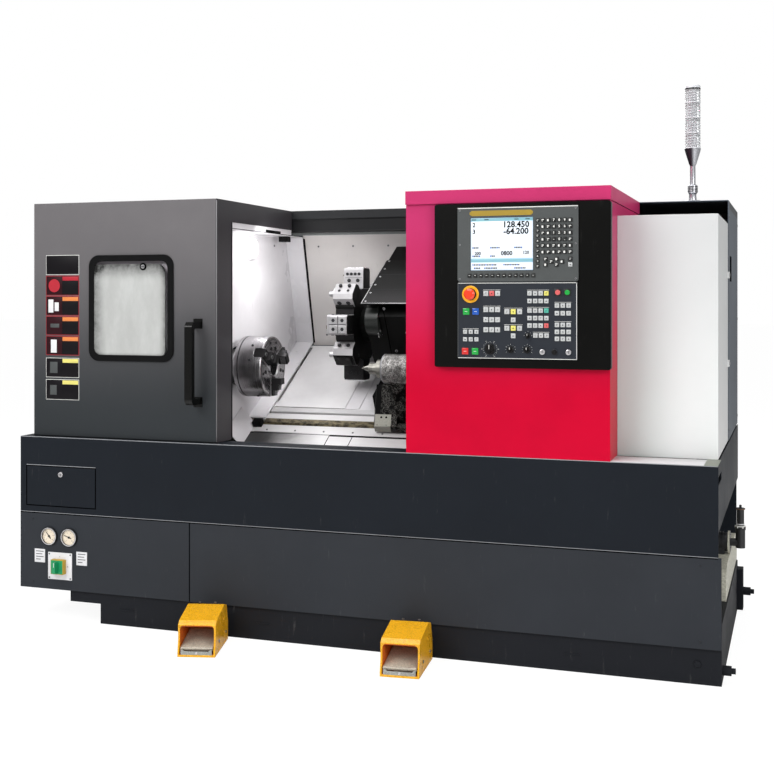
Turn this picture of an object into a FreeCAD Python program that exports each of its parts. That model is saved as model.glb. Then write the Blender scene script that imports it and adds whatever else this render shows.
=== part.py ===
import FreeCAD, Part
import math
import os
import re
import Sketcher

# A slant-bed CNC turning lathe. X runs along the spindle to the right, Y to the back and Z up.
# The origin is on the floor under the middle of the machine. The bed, saddle, turret and tailstock
# lie on a slope, so they are drawn on a tilted frame: x along the spindle, u up the slope and w
# square to it, with the spindle's axis at u = w = 0.

SIZES = {
    # whole machine
    "base_length": 2800,
    "base_depth": 1500,
    "base_top": 750,
    "skin": 3,
    "touch_gap": 0.3,
    "slope": 30,
    "spindle_back": 363,
    "spindle_up": 1035,
    # base covers and coolant tank
    "lower_top": 438,
    "upper_bottom": 440,
    "lower_bottom": 125,
    "cover_split": 612,
    "flange_depth": 120,
    "hem": 10,
    "tank_inset": 376,
    "tank_over": 10,
    "tank_setback": 12,
    "tank_depth": 1100,
    "tank_top": 205.7,
    "pump_front": 120,
    "pump_up": 374,
    "step_length": 142,
    "step_bottom": 80,
    "side_cover_bottom": 505,
    "side_cover_depth": 1470,
    # hatch, gauges and main switch
    "hatch_inset": 29,
    "hatch_width": 332,
    "hatch_bottom": 467,
    "hatch_height": 164,
    "hatch_gap": 3,
    "lock_radius": 11,
    "lock_inset": 194,
    "lock_up": 597,
    "gauge_inset": 142,
    "gauge_pitch": 95,
    "gauge_up": 343,
    "gauge_radius": 38,
    "gauge_body": 30,
    "dial_radius": 31.5,
    "switch_inset": 136,
    "switch_width": 114,
    "switch_bottom": 167,
    "switch_height": 111,
    "switch_block": 60,
    "switch_face": 46,
    # sliding door
    "door_inset": 45,
    "door_right": 508,
    "door_setback": 30,
    "door_top": 1714,
    "door_return": 130,
    "door_hood": 1630,
    "left_return": 24,
    "window_left": 1087,
    "window_right": 699,
    "window_bottom": 1066,
    "window_top": 1496,
    "window_corner": 45,
    "gasket_width": 25,
    "gasket_thick": 7,
    "handle_left": 590,
    "handle_bottom": 903,
    "handle_top": 1228,
    "handle_reach": 84,
    "handle_width": 32,
    "handle_thick": 24,
    # fixed enclosure
    "head_cover_setback": 58,
    "head_cover_inset": 55,
    "head_cover_right": 560,
    "head_cover_top": 1690,
    "wall_front": 22,
    "enclosure_top": 1715,
    "side_inset": 9,
    "beam_bottom": 1617,
    "beam_strip": 1678,
    "beam_depth": 60,
    "cabinet_left": 285,
    "cabinet_right": 1035,
    "cabinet_depth": 60,
    "cabinet_top": 1665,
    "cap_over": 10,
    "side_box_inset": 12,
    "side_box_setback": 170,
    "side_box_top": 1620,
    # chamber
    "partition_left": 600,
    "lip_left": 514,
    "back_low_front": 285,
    "back_low_up": 1100,
    "back_high_front": 154,
    "chamber_setback": 61,
    "chamber_right": 1030,
    "light_front": 237,
    "light_up": 1537,
    "light_radius": 52,
    # operator panel
    "frame_left": 403,
    "frame_right": 1041,
    "frame_bottom": 1071,
    "frame_top": 1661,
    "frame_proud": 25,
    "pocket": 12,
    "board_proud": 5,
    "display_left": 491,
    "display_right": 929,
    "display_bottom": 1380,
    "display_top": 1647,
    "screen_left": 540,
    "screen_right": 768,
    "screen_bottom": 1421,
    "screen_top": 1609,
    "board_left": 491,
    "board_right": 925,
    "board_bottom": 1104,
    "board_top": 1377,
    "key_proud": 3,
    "key_side": 15,
    "stop_left": 540,
    "stop_up": 1335,
    "collar_radius": 30,
    "mushroom_radius": 20,
    "feed_knob_radius": 19,
    "dial_knob_radius": 12,
    "push_radius": 9,
    "push_up": 1341,
    # headstock and chuck
    "head_inset": 250,
    "head_right": 700,
    "head_half": 175,
    "bore_radius": 92,
    "spindle_radius": 90,
    "bar_hole_radius": 65,
    "nose_radius": 70,
    "draw_bore": 38,
    "spindle_inset": 110,
    "chuck_back": 555,
    "chuck_face": 427,
    "chuck_radius": 127,
    "chuck_turn": 60,
    "jaw_width": 40,
    "jaw_top": 122,
    "jaw_bottom": 48,
    "jaw_sunk": 38,
    "jaw_proud": 42,
    "jaw_gap": 0.4,
    "motor_setback": 190,
    "motor_up": 395,
    "motor_radius": 125,
    "motor_inset": 200,
    "motor_right": 830,
    "pulley_radius": 120,
    "motor_pulley_radius": 80,
    "pulley_width": 60,
    "belt_thick": 8,
    # sloping bed: distances under the spindle's axis
    "bed_low": 340,
    "bed_front": 260,
    "bed_back": 600,
    "bed_left_inset": 195,
    "bed_right_inset": 170,
    "bed_bottom": 206,
    "bed_over": 5,
    "strut_up": 420,
    "strut_size": 40,
    "way_step": 290,
    "way_step_back": 72,
    "rail_wide": 45,
    "rail_high": 35,
    "rail_front": 150,
    "rail_back": 510,
    "tail_way_top": 252,
    "tail_way_wide": 30,
    "tail_way_front": 36,
    "tail_way_back": 46,
    "floor_down": 261,
    # saddle, turret and covers
    "saddle_left": 50,
    "saddle_right": 325,
    "saddle_front": 90,
    "saddle_back": 572,
    "leaf_back": 578,
    "saddle_down": 300,
    "saddle_top": 200,
    "cross_low": 170,
    "cross_front": 195,
    "cross_back": 505,
    "cross_right": 235,
    "cross_top": 190,
    "cover_top": 200,
    "cover_front": 180,
    "cover_back": 713,
    "turret_up_slope": 350,
    "turret_left": 205,
    "turret_width": 81,
    "turret_radius": 165,
    "neck_radius": 75,
    "turret_turn": 15,
    "holder_width": 88,
    "holder_tall": 90,
    "screw_radius": 14,
    "screw_down": 322,
    "screw_back": 330,
    # tailstock
    "barrel_left": 70,
    "barrel_right": 330,
    "barrel_radius": 60,
    "quill_radius": 37.5,
    "quill_left": 40,
    "centre_tip": 33,
    "centre_radius": 23.5,
    # signal tower
    "tower_inset": 155,
    "tower_back": 100,
    "tower_lamp_bottom": 1934,
    "tower_top": 2196,
    "tower_lamp_radius": 31,
    # foot switches
    "pedal_width": 140,
    "pedal_length": 235,
    "pedal_height": 152,
    "pedal_front_height": 122,
    "pedal_wall": 6,
}

# Places worked out from the sizes, most of them measured in from the base's front and ends.
PLACES = {
    "tank_front": "base_depth / 2 - tank_setback",
    "motor_back": "base_depth / 2 - motor_setback",
    "door_front": "base_depth / 2 - door_setback",
    "head_cover_front": "base_depth / 2 - head_cover_setback",
    "chamber_front": "base_depth / 2 - chamber_setback",
    "side_box_front": "base_depth / 2 - side_box_setback",
    "tank_back": "tank_depth - tank_front",
    "tank_left": "base_length / 2 - tank_inset",
    "tank_right": "base_length / 2 + tank_over",
    "hatch_left": "base_length / 2 - hatch_inset",
    "lock_left": "base_length / 2 - lock_inset",
    "gauge_left": "base_length / 2 - gauge_inset",
    "switch_left": "base_length / 2 - switch_inset",
    "door_left": "base_length / 2 - door_inset",
    "head_cover_left": "base_length / 2 - head_cover_inset",
    "enclosure_half": "base_length / 2 - side_inset",
    "side_box_right": "base_length / 2 - side_box_inset",
    "head_left": "base_length / 2 - head_inset",
    "spindle_left": "base_length / 2 - spindle_inset",
    "motor_left": "base_length / 2 - motor_inset",
    "bed_left": "base_length / 2 - bed_left_inset",
    "bed_right": "base_length / 2 - bed_right_inset",
    "bed_end": "base_length / 2 + bed_over",
    "tower_right": "base_length / 2 - tower_inset",
}

NAMES = SIZES | PLACES
DOC = FreeCAD.newDocument("TurningLathe")
SHEET = DOC.addObject("Spreadsheet::Sheet", "Sizes")
NODES = []
PLANES = {"XY": "XY_Plane", "XZ": "XZ_Plane", "YZ": "YZ_Plane"}
X_AXIS = FreeCAD.Vector(1, 0, 0)
Y_AXIS = FreeCAD.Vector(0, 1, 0)
Z_AXIS = FreeCAD.Vector(0, 0, 1)
TURNS = {"X": (Y_AXIS, 90), "Y": (X_AXIS, -90), "Z": (Z_AXIS, 0)}


def fill_sheet():
    for row, (word, size) in enumerate(NAMES.items(), start=1):
        SHEET.set(f"A{row}", word)
        SHEET.setAlias(f"B{row}", word)
        SHEET.set(f"B{row}", f"={size}")
    DOC.recompute()


def formula(text):
    """The text with every size's name turned into a reference to its cell."""
    return re.sub(r"[a-z][a-z_]+", lambda m: "Sizes." * (m[0] in NAMES) + m[0], str(text))


def bind(thing, **properties):
    for name, text in properties.items():
        thing.setExpression(name, formula(text))
    return thing


def place(thing, x="0", y="0", z="0", axis=None, angle="0"):
    """Bind a thing's place, and its turn about one axis."""
    if axis is not None:
        thing.Placement = FreeCAD.Placement(FreeCAD.Vector(), FreeCAD.Rotation(axis, 1))
        thing.setExpression("Placement.Rotation.Angle", formula(angle))
    for side, text in (("x", x), ("y", y), ("z", z)):
        thing.setExpression("Placement.Base." + side, formula(text))
    return thing


def block(x, y, z, length, width, height):
    """A box from its low corner and its three sides."""
    box = bind(DOC.addObject("Part::Box", "block"), Length=length, Width=width, Height=height)
    return place(box, x, y, z)


def rod(along, x, y, z, radius, length):
    """A round bar that starts at x, y, z and runs along an axis."""
    bar = bind(DOC.addObject("Part::Cylinder", "rod"), Radius=radius, Height=length)
    axis, angle = TURNS[along]
    return place(bar, x, y, z, axis, angle)


def draw(body, plane, outlines, circles=(), start="0"):
    """A sketch of closed outlines and circles, each corner bound to its two formulas."""
    sketch = body.newObject("Sketcher::SketchObject", "sketch")
    support = next(f for f in body.Origin.OriginFeatures if f.Role == PLANES[plane])
    sketch.AttachmentSupport = [(support, "")]
    sketch.MapMode = "FlatFace"
    sign = "-" if plane == "XZ" else ""
    sketch.setExpression("AttachmentOffset.Base.z", formula(f"{sign}({start})"))
    for points in outlines:
        count = len(points)
        turn = 2 * math.pi / count
        corners = [
            FreeCAD.Vector(math.cos(turn * i), math.sin(turn * i), 0) * 100 for i in range(count)
        ]
        lines = [Part.LineSegment(corners[i], corners[(i + 1) % count]) for i in range(count)]
        first = sketch.addGeometry(lines)[0]
        for i, (across, up) in enumerate(points):
            after = first + (i + 1) % count
            sketch.addConstraint(Sketcher.Constraint("Coincident", first + i, 2, after, 1))
            pin(sketch, first + i, 1, across, up, corners[i])
    for across, up, radius in circles:
        middle = FreeCAD.Vector(10, 10, 0)
        ring = sketch.addGeometry(Part.Circle(middle, Z_AXIS, 5))
        pin(sketch, ring, 3, across, up, middle)
        at = sketch.addConstraint(Sketcher.Constraint("Radius", ring, 5))
        sketch.setExpression(f"Constraints[{at}]", formula(radius))
    return sketch


def pin(sketch, line, end, across, up, now):
    """Hold one point of a sketch at its distances from the origin."""
    for kind, text, value in (("DistanceX", across, now.x), ("DistanceY", up, now.y)):
        at = sketch.addConstraint(Sketcher.Constraint(kind, -1, 1, line, end, value))
        sketch.setExpression(f"Constraints[{at}]", formula(text))


def padded(plane, outlines, start, length, circles=(), rounds=()):
    """A body padded from outlines in a plane, towards +X, +Y or +Z, with some corners rounded."""
    body = DOC.addObject("PartDesign::Body", "body")
    sketch = draw(body, plane, outlines, circles, start)
    pad = body.newObject("PartDesign::Pad", "pad")
    pad.Profile = sketch
    pad.Reversed = plane == "XZ"
    bind(pad, Length=length)
    DOC.recompute()
    for corners, radius in rounds:
        round_corners(body, sketch, corners, radius)
    return body


def round_corners(body, sketch, corners, radius):
    """Fillet the edges that stand on the given corners of the body's outlines."""
    before = body.Tip
    spots = [sketch.Placement.multVec(sketch.Geometry[i].StartPoint) for i in corners]
    normal = sketch.Placement.Rotation.multVec(Z_AXIS)
    names = []
    for number, edge in enumerate(before.Shape.Edges, start=1):
        ends = [v.Point for v in edge.Vertexes]
        if len(ends) != 2 or (ends[1] - ends[0]).cross(normal).Length > 0.01:
            continue
        if any((ends[0] - spot).cross(normal).Length < 0.01 for spot in spots):
            names.append(f"Edge{number}")
    fillet = body.newObject("PartDesign::Fillet", "fillet")
    fillet.Base = (before, names)
    bind(fillet, Radius=radius)
    DOC.recompute()


def turned(along, x, y, z, profile):
    """A body revolved from its half section: pairs of (distance along the axis, radius)."""
    body = DOC.addObject("PartDesign::Body", "body")
    sketch = draw(body, "XZ", [profile])
    revolution = body.newObject("PartDesign::Revolution", "revolution")
    revolution.Profile = sketch
    revolution.ReferenceAxis = (sketch, ["H_Axis"])
    revolution.Angle = 360
    axis, angle = {"X": (X_AXIS, 0), "Y": (Z_AXIS, 90), "Z": (Y_AXIS, -90)}[along]
    return place(body, x, y, z, axis, angle)


def cut(base, *tools):
    for tool in tools:
        result = DOC.addObject("Part::Cut", "cut")
        result.Base = base
        result.Tool = tool
        base = result
    return base


def fuse(*pieces):
    result = DOC.addObject("Part::MultiFuse", "fuse")
    result.Shapes = list(pieces)
    result.Refine = True
    return result


def group(*pieces):
    result = DOC.addObject("Part::Compound", "group")
    result.Links = list(pieces)
    return result


def moved(piece, x="0", y="0", z="0", axis=Z_AXIS, angle="0"):
    """A piece wrapped so that it can be turned and placed as a whole."""
    return place(group(piece), x, y, z, axis, angle)


def sloped(*pieces):
    """Pieces drawn on the bed's tilted frame, set at the spindle's axis."""
    wrapped = group(*pieces)
    return place(wrapped, "0", "-spindle_back", "spindle_up", X_AXIS, "slope")


def node(label, piece):
    piece.Label = label
    NODES.append(piece)
    return piece


# ---------------------------------------------------------------- base and coolant tank


def coolant_tank():
    tank = block(
        "-tank_left", "-tank_front", "0", "tank_left + tank_right", "tank_depth", "tank_top"
    )
    step = block(
        "-tank_left - step_length", "-tank_front", "step_bottom", "step_length", "60",
        "lower_bottom - step_bottom - touch_gap"
    )
    rear = "tank_back - 60"
    outlet = block("tank_right", rear, "7", "24", "60", "tank_top - 34")
    pieces = [tank, step, outlet]
    for x, y, z in (("tank_right", "-tank_front + 40", "45"),
                    ("tank_right + 24", rear + " + 30", "82")):
        pieces.append(rod("X", x, y, z, "17", "30"))
        pieces.append(rod("X", x + " + 30", y, z, "10", "14"))
    node("coolant_tank", fuse(*pieces))


def coolant_pump():
    """The pump lying on the bed's end, with an elbow, a riser and a round splash plate."""
    middle, up, out = "pump_front", "pump_up", "bed_end + 38"
    foot = block("bed_end - 110", f"-{middle} - 30", "bed_bottom + 124", "90", "60",
                 "pump_up - bed_bottom - 144")
    motor = turned("X", "0", f"-{middle}", up,
                   [("bed_end - 140", "0"), ("bed_end - 140", "28"), ("bed_end - 132", "36"),
                    ("bed_end - 8", "36"), ("bed_end - 8", "42"), ("bed_end", "42"),
                    ("bed_end", "15"), (out, "15"), (out, "0")])
    elbow = rod("Z", out, f"-{middle}", up + " - 20", "18", "71")
    riser = turned("Z", out, f"-{middle}", up,
                   [("50", "0"), ("50", "20"), ("62", "20"), ("64", "14"), ("128", "14"),
                    ("128", "17"), ("134", "17"), ("134", "5"), ("146", "5"), ("146", "0")])
    node("coolant_pump", fuse(foot, motor, elbow, riser))


def bed_casting():
    """The sloping bed, with a raised step for the tailstock's ways and legs to the floor."""
    bed = padded(
        "YZ",
        [[
            ("-bed_front", "-bed_low - 110"),
            ("-bed_front", "-way_step"),
            ("way_step_back", "-way_step"),
            ("way_step_back", "-bed_low"),
            ("bed_back", "-bed_low"),
            ("bed_back", "-bed_low - 120"),
        ]],
        "-bed_left",
        "bed_left + bed_right",
    )
    slope = sloped(bed)
    trunk = padded(
        "YZ",
        [[
            ("-400", "bed_bottom"),
            ("tank_back + 38", "bed_bottom"),
            ("tank_back + 198", "bed_bottom + 160"),
            ("tank_back + 198", "bed_bottom + 560"),
            ("300", "bed_bottom + 690"),
            ("-400", "bed_bottom + 300"),
        ]],
        "-bed_left + 5",
        "bed_left + bed_right - 10",
    )
    end = padded(
        "YZ",
        [[("-390", "bed_bottom"), ("390", "bed_bottom"), ("390", "bed_bottom + 60"),
          ("300", "bed_bottom + 124"), ("-330", "bed_bottom + 124"),
          ("-390", "bed_bottom + 80")]],
        "bed_right - 10",
        "bed_end - bed_right + 10",
    )
    pieces = [slope, trunk, end]
    for x in ("-bed_left + 5", "-90", "bed_right - 185"):
        pieces.append(block(x, "tank_back + 18", "60", "170", "180", "bed_bottom"))
    pieces.append(block("-bed_left + 5", "-170", "60", "170", "160", "bed_bottom"))
    # struts that carry the front covers at their hems
    for x in ("-bed_left + 415", "-60", "bed_right - 100"):
        pieces.append(block(x, "hem - base_depth / 2 + touch_gap", "strut_up", "strut_size",
                            "base_depth / 2 - hem - touch_gap - 300", "strut_size"))
    node("bed_casting", fuse(*pieces))


def levelling_feet():
    feet = []
    rear = "tank_back + 108"
    spots = [("-bed_left + 90", rear), ("-5", rear), ("bed_right - 100", rear),
             ("-bed_left + 90", "-90")]
    for x, y in spots:
        pad = [("0", "0"), ("0", "50"), ("12", "50"), ("22", "18"), ("60", "18"), ("60", "0")]
        feet.append(turned("Z", x, y, "0", pad))
    node("levelling_feet", group(*feet))


def upper_front_cover():
    left, right = "-base_length / 2", "base_length / 2"
    front = padded(
        "XZ",
        [
            [(left, "upper_bottom"), (right, "upper_bottom"), (right, "base_top"),
             (left, "base_top")],
            [("-hatch_left", "hatch_bottom"), ("-hatch_left + hatch_width", "hatch_bottom"),
             ("-hatch_left + hatch_width", "hatch_bottom + hatch_height"),
             ("-hatch_left", "hatch_bottom + hatch_height")],
        ],
        "-base_depth / 2",
        "skin",
    )
    sill = block(left, "-base_depth / 2", "base_top - skin", "base_length", "flange_depth", "skin")
    lip = block(left + " + skin + 1", "-base_depth / 2", "upper_bottom",
                "base_length / 2 + enclosure_half - skin - 2", "hem", "skin")
    node("upper_front_cover", fuse(front, sill, lip))


def lower_front_covers():
    """The two lower sheets; the left one carries the gauges."""
    holes = [("-gauge_left", "gauge_up", "gauge_body + touch_gap"),
             ("-gauge_left + gauge_pitch", "gauge_up", "gauge_body + touch_gap")]
    covers = []
    for left, right, circles in (
        ("-base_length / 2", "-cover_split - 0.5", holes),
        ("-cover_split + 0.5", "base_length / 2 + 10", ()),
    ):
        plate = padded(
            "XZ",
            [[(left, "lower_bottom"), (right, "lower_bottom"), (right, "lower_top"),
              (left, "lower_top")]],
            "-base_depth / 2",
            "skin",
            circles,
        )
        hems = []
        for z in ("lower_bottom", "lower_top - skin"):
            hems.append(block(f"{left} + skin + 1", "-base_depth / 2", z,
                              f"{right} - ({left}) - skin - 2", "hem", "skin"))
        covers.append(fuse(plate, *hems))
    node("lower_front_covers", group(*covers))


def side_covers():
    back = "-base_depth / 2 + skin"
    left = block(
        "-base_length / 2", back, "lower_bottom", "skin", "side_cover_depth",
        "base_top - skin - lower_bottom"
    )
    sheet = block(
        "enclosure_half", back, "side_cover_bottom", "skin", "side_cover_depth",
        "base_top - skin - side_cover_bottom"
    )
    slot = block("enclosure_half - 5", back, "668", "20", "260", "29")
    rear = block(
        "-base_length / 2 + skin", "side_cover_depth - base_depth / 2", "250",
        "base_length / 2 + enclosure_half - 2 * skin", "skin", "base_top - 250"
    )
    node("base_side_covers", group(left, cut(sheet, slot), rear))


def hatch():
    """A drop-down hatch with its hinge along the bottom edge and a quarter-turn lock."""
    front = "-base_depth / 2"
    plate = padded(
        "XZ",
        [[("-hatch_left + hatch_gap", "hatch_bottom + touch_gap"),
          ("-hatch_left + hatch_width - hatch_gap", "hatch_bottom + touch_gap"),
          ("-hatch_left + hatch_width - hatch_gap", "hatch_bottom + hatch_height - hatch_gap"),
          ("-hatch_left + hatch_gap", "hatch_bottom + hatch_height - hatch_gap")]],
        front,
        "skin",
        [("-lock_left", "lock_up", "6 + touch_gap")],
    )
    node("hatch_door", plate)
    head = [("-4", "0"), ("-4", "lock_radius - 1.5"), ("-2.5", "lock_radius"),
            ("-touch_gap", "lock_radius"), ("-touch_gap", "6"), ("16", "6"), ("16", "0")]
    slot = block("-lock_left - 7", front + " - 5", "lock_up - 1", "14", "3", "2")
    lock = cut(turned("Y", "-lock_left", front, "lock_up", head), slot)
    tongue = block("-lock_left - 7", front + " + 12", "lock_up - 7", "14", "3", "33")
    node("hatch_lock", fuse(lock, tongue))


def gauges():
    """Two round pressure gauges: a flanged case with a sunk dial and a needle on its stud."""
    front = "-base_depth / 2"
    cases = []
    for x, angle in (("-gauge_left", "-40"), ("-gauge_left + gauge_pitch", "-70")):
        case = [("45", "0"), ("45", "gauge_body"), ("0", "gauge_body"), ("0", "gauge_radius"),
                ("-6", "gauge_radius"), ("-9", "gauge_radius - 3"), ("-9", "dial_radius"),
                ("-3", "dial_radius"), ("-3", "0")]
        boss = rod("Y", x, front + " - 6", "gauge_up", "4", "4")
        pointer = padded(
            "XZ",
            [[("-2", "-9"), ("2", "-9"), ("0.6", "24"), ("-0.6", "24")]],
            "0",
            "1",
        )
        needle = place(pointer, x, front + " - 5.5", "gauge_up", Y_AXIS, angle)
        cases.append(fuse(turned("Y", x, front, "gauge_up", case), boss, needle))
    node("pressure_gauges", group(*cases))


def main_switch():
    front = "-base_depth / 2"
    plate = padded(
        "XZ",
        [[("-switch_left", "switch_bottom"), ("-switch_left + switch_width", "switch_bottom"),
          ("-switch_left + switch_width", "switch_bottom + switch_height"),
          ("-switch_left", "switch_bottom + switch_height")]],
        front + " - 3",
        "3",
        rounds=[((0, 1, 2, 3), "6")],
    )
    middle = "-switch_left + switch_width / 2"
    up = "switch_bottom + switch_height / 2"
    box = block(
        middle + " - switch_block / 2", front + " - 25", up + " - switch_block / 2",
        "switch_block", "22", "switch_block"
    )
    node("main_switch_box", fuse(plate, box))
    dial = [("-27", "0"), ("-27", "switch_face / 2"), ("-25 - touch_gap", "switch_face / 2"),
            ("-25 - touch_gap", "0")]
    wing = block(middle + " - 6", front + " - 47", up + " - switch_face / 2", "12", "21",
                 "switch_face")
    node("main_switch_handle", fuse(turned("Y", middle, front, up, dial), wing))


# ---------------------------------------------------------------- sliding door


def main_door():
    """A folded hood: front sheet, deep return on the right, and a roof that reaches the beam."""
    bottom = "base_top + touch_gap"
    width = "door_left - door_right"
    reach = "door_front + wall_front - 4"
    outer = block("-door_left", "-door_front", bottom, width, reach, "door_top - base_top - touch_gap")
    inner = block(
        "-door_left + skin", "-door_front + skin", "base_top - 20", width + " - 2 * skin",
        reach + " + 20", "door_top - base_top + 20 - skin"
    )
    behind = block(
        "-door_left - 10", "-door_front + door_return", "base_top - 20", width + " + 20",
        reach, "door_hood - base_top + 20"
    )
    left_side = block(
        "-door_left - 10", "-door_front + left_return", "base_top - 20", "30",
        reach, "door_top - skin - base_top + 20"
    )
    opening = padded(
        "XZ",
        [[("-window_left + gasket_width", "window_bottom + gasket_width"),
          ("-window_right - gasket_width", "window_bottom + gasket_width"),
          ("-window_right - gasket_width", "window_top - gasket_width"),
          ("-window_left + gasket_width", "window_top - gasket_width")]],
        "-door_front - 10",
        "30",
        rounds=[((0, 1, 2, 3), "window_corner - 15")],
    )
    node("main_door", cut(outer, inner, behind, left_side, opening))


def door_window():
    lap = "gasket_width - 12"
    glass = padded(
        "XZ",
        [[(f"-window_left + {lap}", f"window_bottom + {lap}"),
          (f"-window_right - {lap}", f"window_bottom + {lap}"),
          (f"-window_right - {lap}", f"window_top - {lap}"),
          (f"-window_left + {lap}", f"window_top - {lap}")]],
        "-door_front - 5",
        "5",
        rounds=[((0, 1, 2, 3), "window_corner - 10")],
    )
    node("door_window", glass)
    ring = padded(
        "XZ",
        [
            [("-window_left", "window_bottom"), ("-window_right", "window_bottom"),
             ("-window_right", "window_top"), ("-window_left", "window_top")],
            [("-window_left + gasket_width", "window_bottom + gasket_width"),
             ("-window_right - gasket_width", "window_bottom + gasket_width"),
             ("-window_right - gasket_width", "window_top - gasket_width"),
             ("-window_left + gasket_width", "window_top - gasket_width")],
        ],
        "-door_front - gasket_thick",
        "gasket_thick",
        rounds=[((0, 1, 2, 3), "window_corner"), ((4, 5, 6, 7), "window_corner - 15")],
    )
    seat = padded(
        "XZ",
        [[(f"-window_left + {lap}", f"window_bottom + {lap}"),
          (f"-window_right - {lap}", f"window_bottom + {lap}"),
          (f"-window_right - {lap}", f"window_top - {lap}"),
          (f"-window_left + {lap}", f"window_top - {lap}")]],
        "-door_front - 5",
        "6",
        rounds=[((0, 1, 2, 3), "window_corner - 10")],
    )
    node("window_gasket", cut(ring, seat))


def door_handle():
    """A D-shaped pull bar with chamfered shoulders."""
    front = "-door_front"
    outer = [(front, "handle_bottom"), (front + " - handle_reach + 14", "handle_bottom"),
             (front + " - handle_reach", "handle_bottom + 16"),
             (front + " - handle_reach", "handle_top - 16"),
             (front + " - handle_reach + 14", "handle_top"), (front, "handle_top")]
    inner = [(front + " + 5", "handle_bottom + handle_thick"),
             (front + " - handle_reach + handle_thick + 6", "handle_bottom + handle_thick"),
             (front + " - handle_reach + handle_thick", "handle_bottom + handle_thick + 8"),
             (front + " - handle_reach + handle_thick", "handle_top - handle_thick - 8"),
             (front + " - handle_reach + handle_thick + 6", "handle_top - handle_thick"),
             (front + " + 5", "handle_top - handle_thick")]
    start = "-handle_left - handle_width / 2"
    bar = padded("YZ", [outer], start, "handle_width", rounds=[((1, 2, 3, 4), "14")])
    hollow = padded("YZ", [inner], start + " - 5", "handle_width + 10",
                    rounds=[((1, 2, 3, 4), "4")])
    feet = []
    for z in ("handle_bottom - 12", "handle_top - handle_thick - 3"):
        feet.append(block(start + " - 3", front + " - 4", z, "handle_width + 6", "4",
                          "handle_thick + 15"))
    node("door_handle", fuse(cut(bar, hollow), *feet))


# ---------------------------------------------------------------- fixed enclosure


def headstock_cover():
    """The fixed hood over the headstock, which the door slides across."""
    width = "head_cover_left - head_cover_right"
    depth = "head_cover_front + wall_front - skin - touch_gap"
    outer = block("-head_cover_left", "-head_cover_front", "base_top", width, depth,
                  "head_cover_top - base_top")
    inner = block("-head_cover_left + skin", "-head_cover_front + skin", "base_top - 10",
                  width + " + 10", depth + " + 10", "head_cover_top - base_top + 10 - skin")
    bar_hole = rod("X", "-head_cover_left - 10", "-spindle_back", "spindle_up", "bar_hole_radius",
                   "skin + 20")
    node("headstock_cover", cut(outer, inner, bar_hole))


def rear_cover():
    """The tall sheet housing behind the chamber, with the header beam along its front edge."""
    width = "2 * enclosure_half"
    depth = "base_depth / 2 - wall_front"
    outer = block("-enclosure_half", "wall_front", "base_top", width, depth,
                  "enclosure_top - base_top")
    inner = block("-enclosure_half + skin", "wall_front - 10", "base_top - 10",
                  width + " - 2 * skin", depth + " + 10 - skin",
                  "enclosure_top - base_top + 10 - skin")
    grip = block("enclosure_half - 5", "110", "1390", "20", "50", "104")
    housing = cut(outer, inner, grip)
    strip = block(
        "-head_cover_left", "wall_front - 3", "beam_strip",
        "head_cover_left + cabinet_left - touch_gap", "3", "enclosure_top - beam_strip"
    )
    band = block(
        "-head_cover_left", "wall_front", "beam_bottom", "head_cover_left + chamber_right",
        "beam_depth", "beam_strip - beam_bottom"
    )
    top = block(
        "-head_cover_left", "wall_front", "beam_strip",
        "head_cover_left + chamber_right", "beam_depth", "enclosure_top - skin - beam_strip"
    )
    front = cut(band, block("-3000", "wall_front - 5", "beam_bottom + 6", "6000", "9",
                            "beam_strip - beam_bottom - 10"))
    body = fuse(strip, front, top)
    hollow = block(
        "-head_cover_left - 10", "wall_front + 12", "beam_bottom + 6",
        "head_cover_left + chamber_right + 20", "beam_depth - 6",
        "enclosure_top - beam_bottom - 6 - 2 * skin"
    )
    node("rear_cover", fuse(housing, cut(body, hollow)))


def bed_room(left, length):
    """The slanting space that the bed and its ways take up through an upright sheet."""
    return sloped(block(left, "-500", "-bed_low - 300", length, "1200",
                        "bed_low + 300 - floor_down + 6"))


def red_cabinet():
    """The fixed front guard with its side panel, and the cap over it."""
    width = "cabinet_right - cabinet_left"
    front = "-base_depth / 2"
    outer = block("cabinet_left", front, "base_top", width, "cabinet_depth",
                  "cabinet_top - base_top")
    inner = block("cabinet_left + skin", front + " + skin", "base_top + skin",
                  width + " - 2 * skin", "cabinet_depth - 2 * skin",
                  "cabinet_top - base_top - 2 * skin")
    side = block(
        "cabinet_right - skin", front + " + cabinet_depth", "base_top", "skin",
        "base_depth / 2 - cabinet_depth + wall_front", "cabinet_top - base_top"
    )
    side = cut(side, bed_room("cabinet_right - 20", "30"))
    node("red_cabinet", fuse(cut(outer, inner), side))
    left, over = "cabinet_left", "cabinet_right + 5"
    lid = block(left, front + " - cap_over", "cabinet_top", f"{over} - {left}",
                "base_depth / 2 + cap_over + wall_front", "enclosure_top - cabinet_top")
    hollow = block(
        left + " + skin", front + " - cap_over + skin", "cabinet_top - 10",
        f"{over} - {left} - 2 * skin", "base_depth / 2 + cap_over + wall_front - skin + 10",
        "enclosure_top - cabinet_top + 10 - skin"
    )
    ledge = block(left, front + " - cap_over", "cabinet_top", f"{over} - {left}",
                  "cap_over + 20", "skin")
    node("cabinet_cap", fuse(cut(lid, hollow), ledge))


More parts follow.
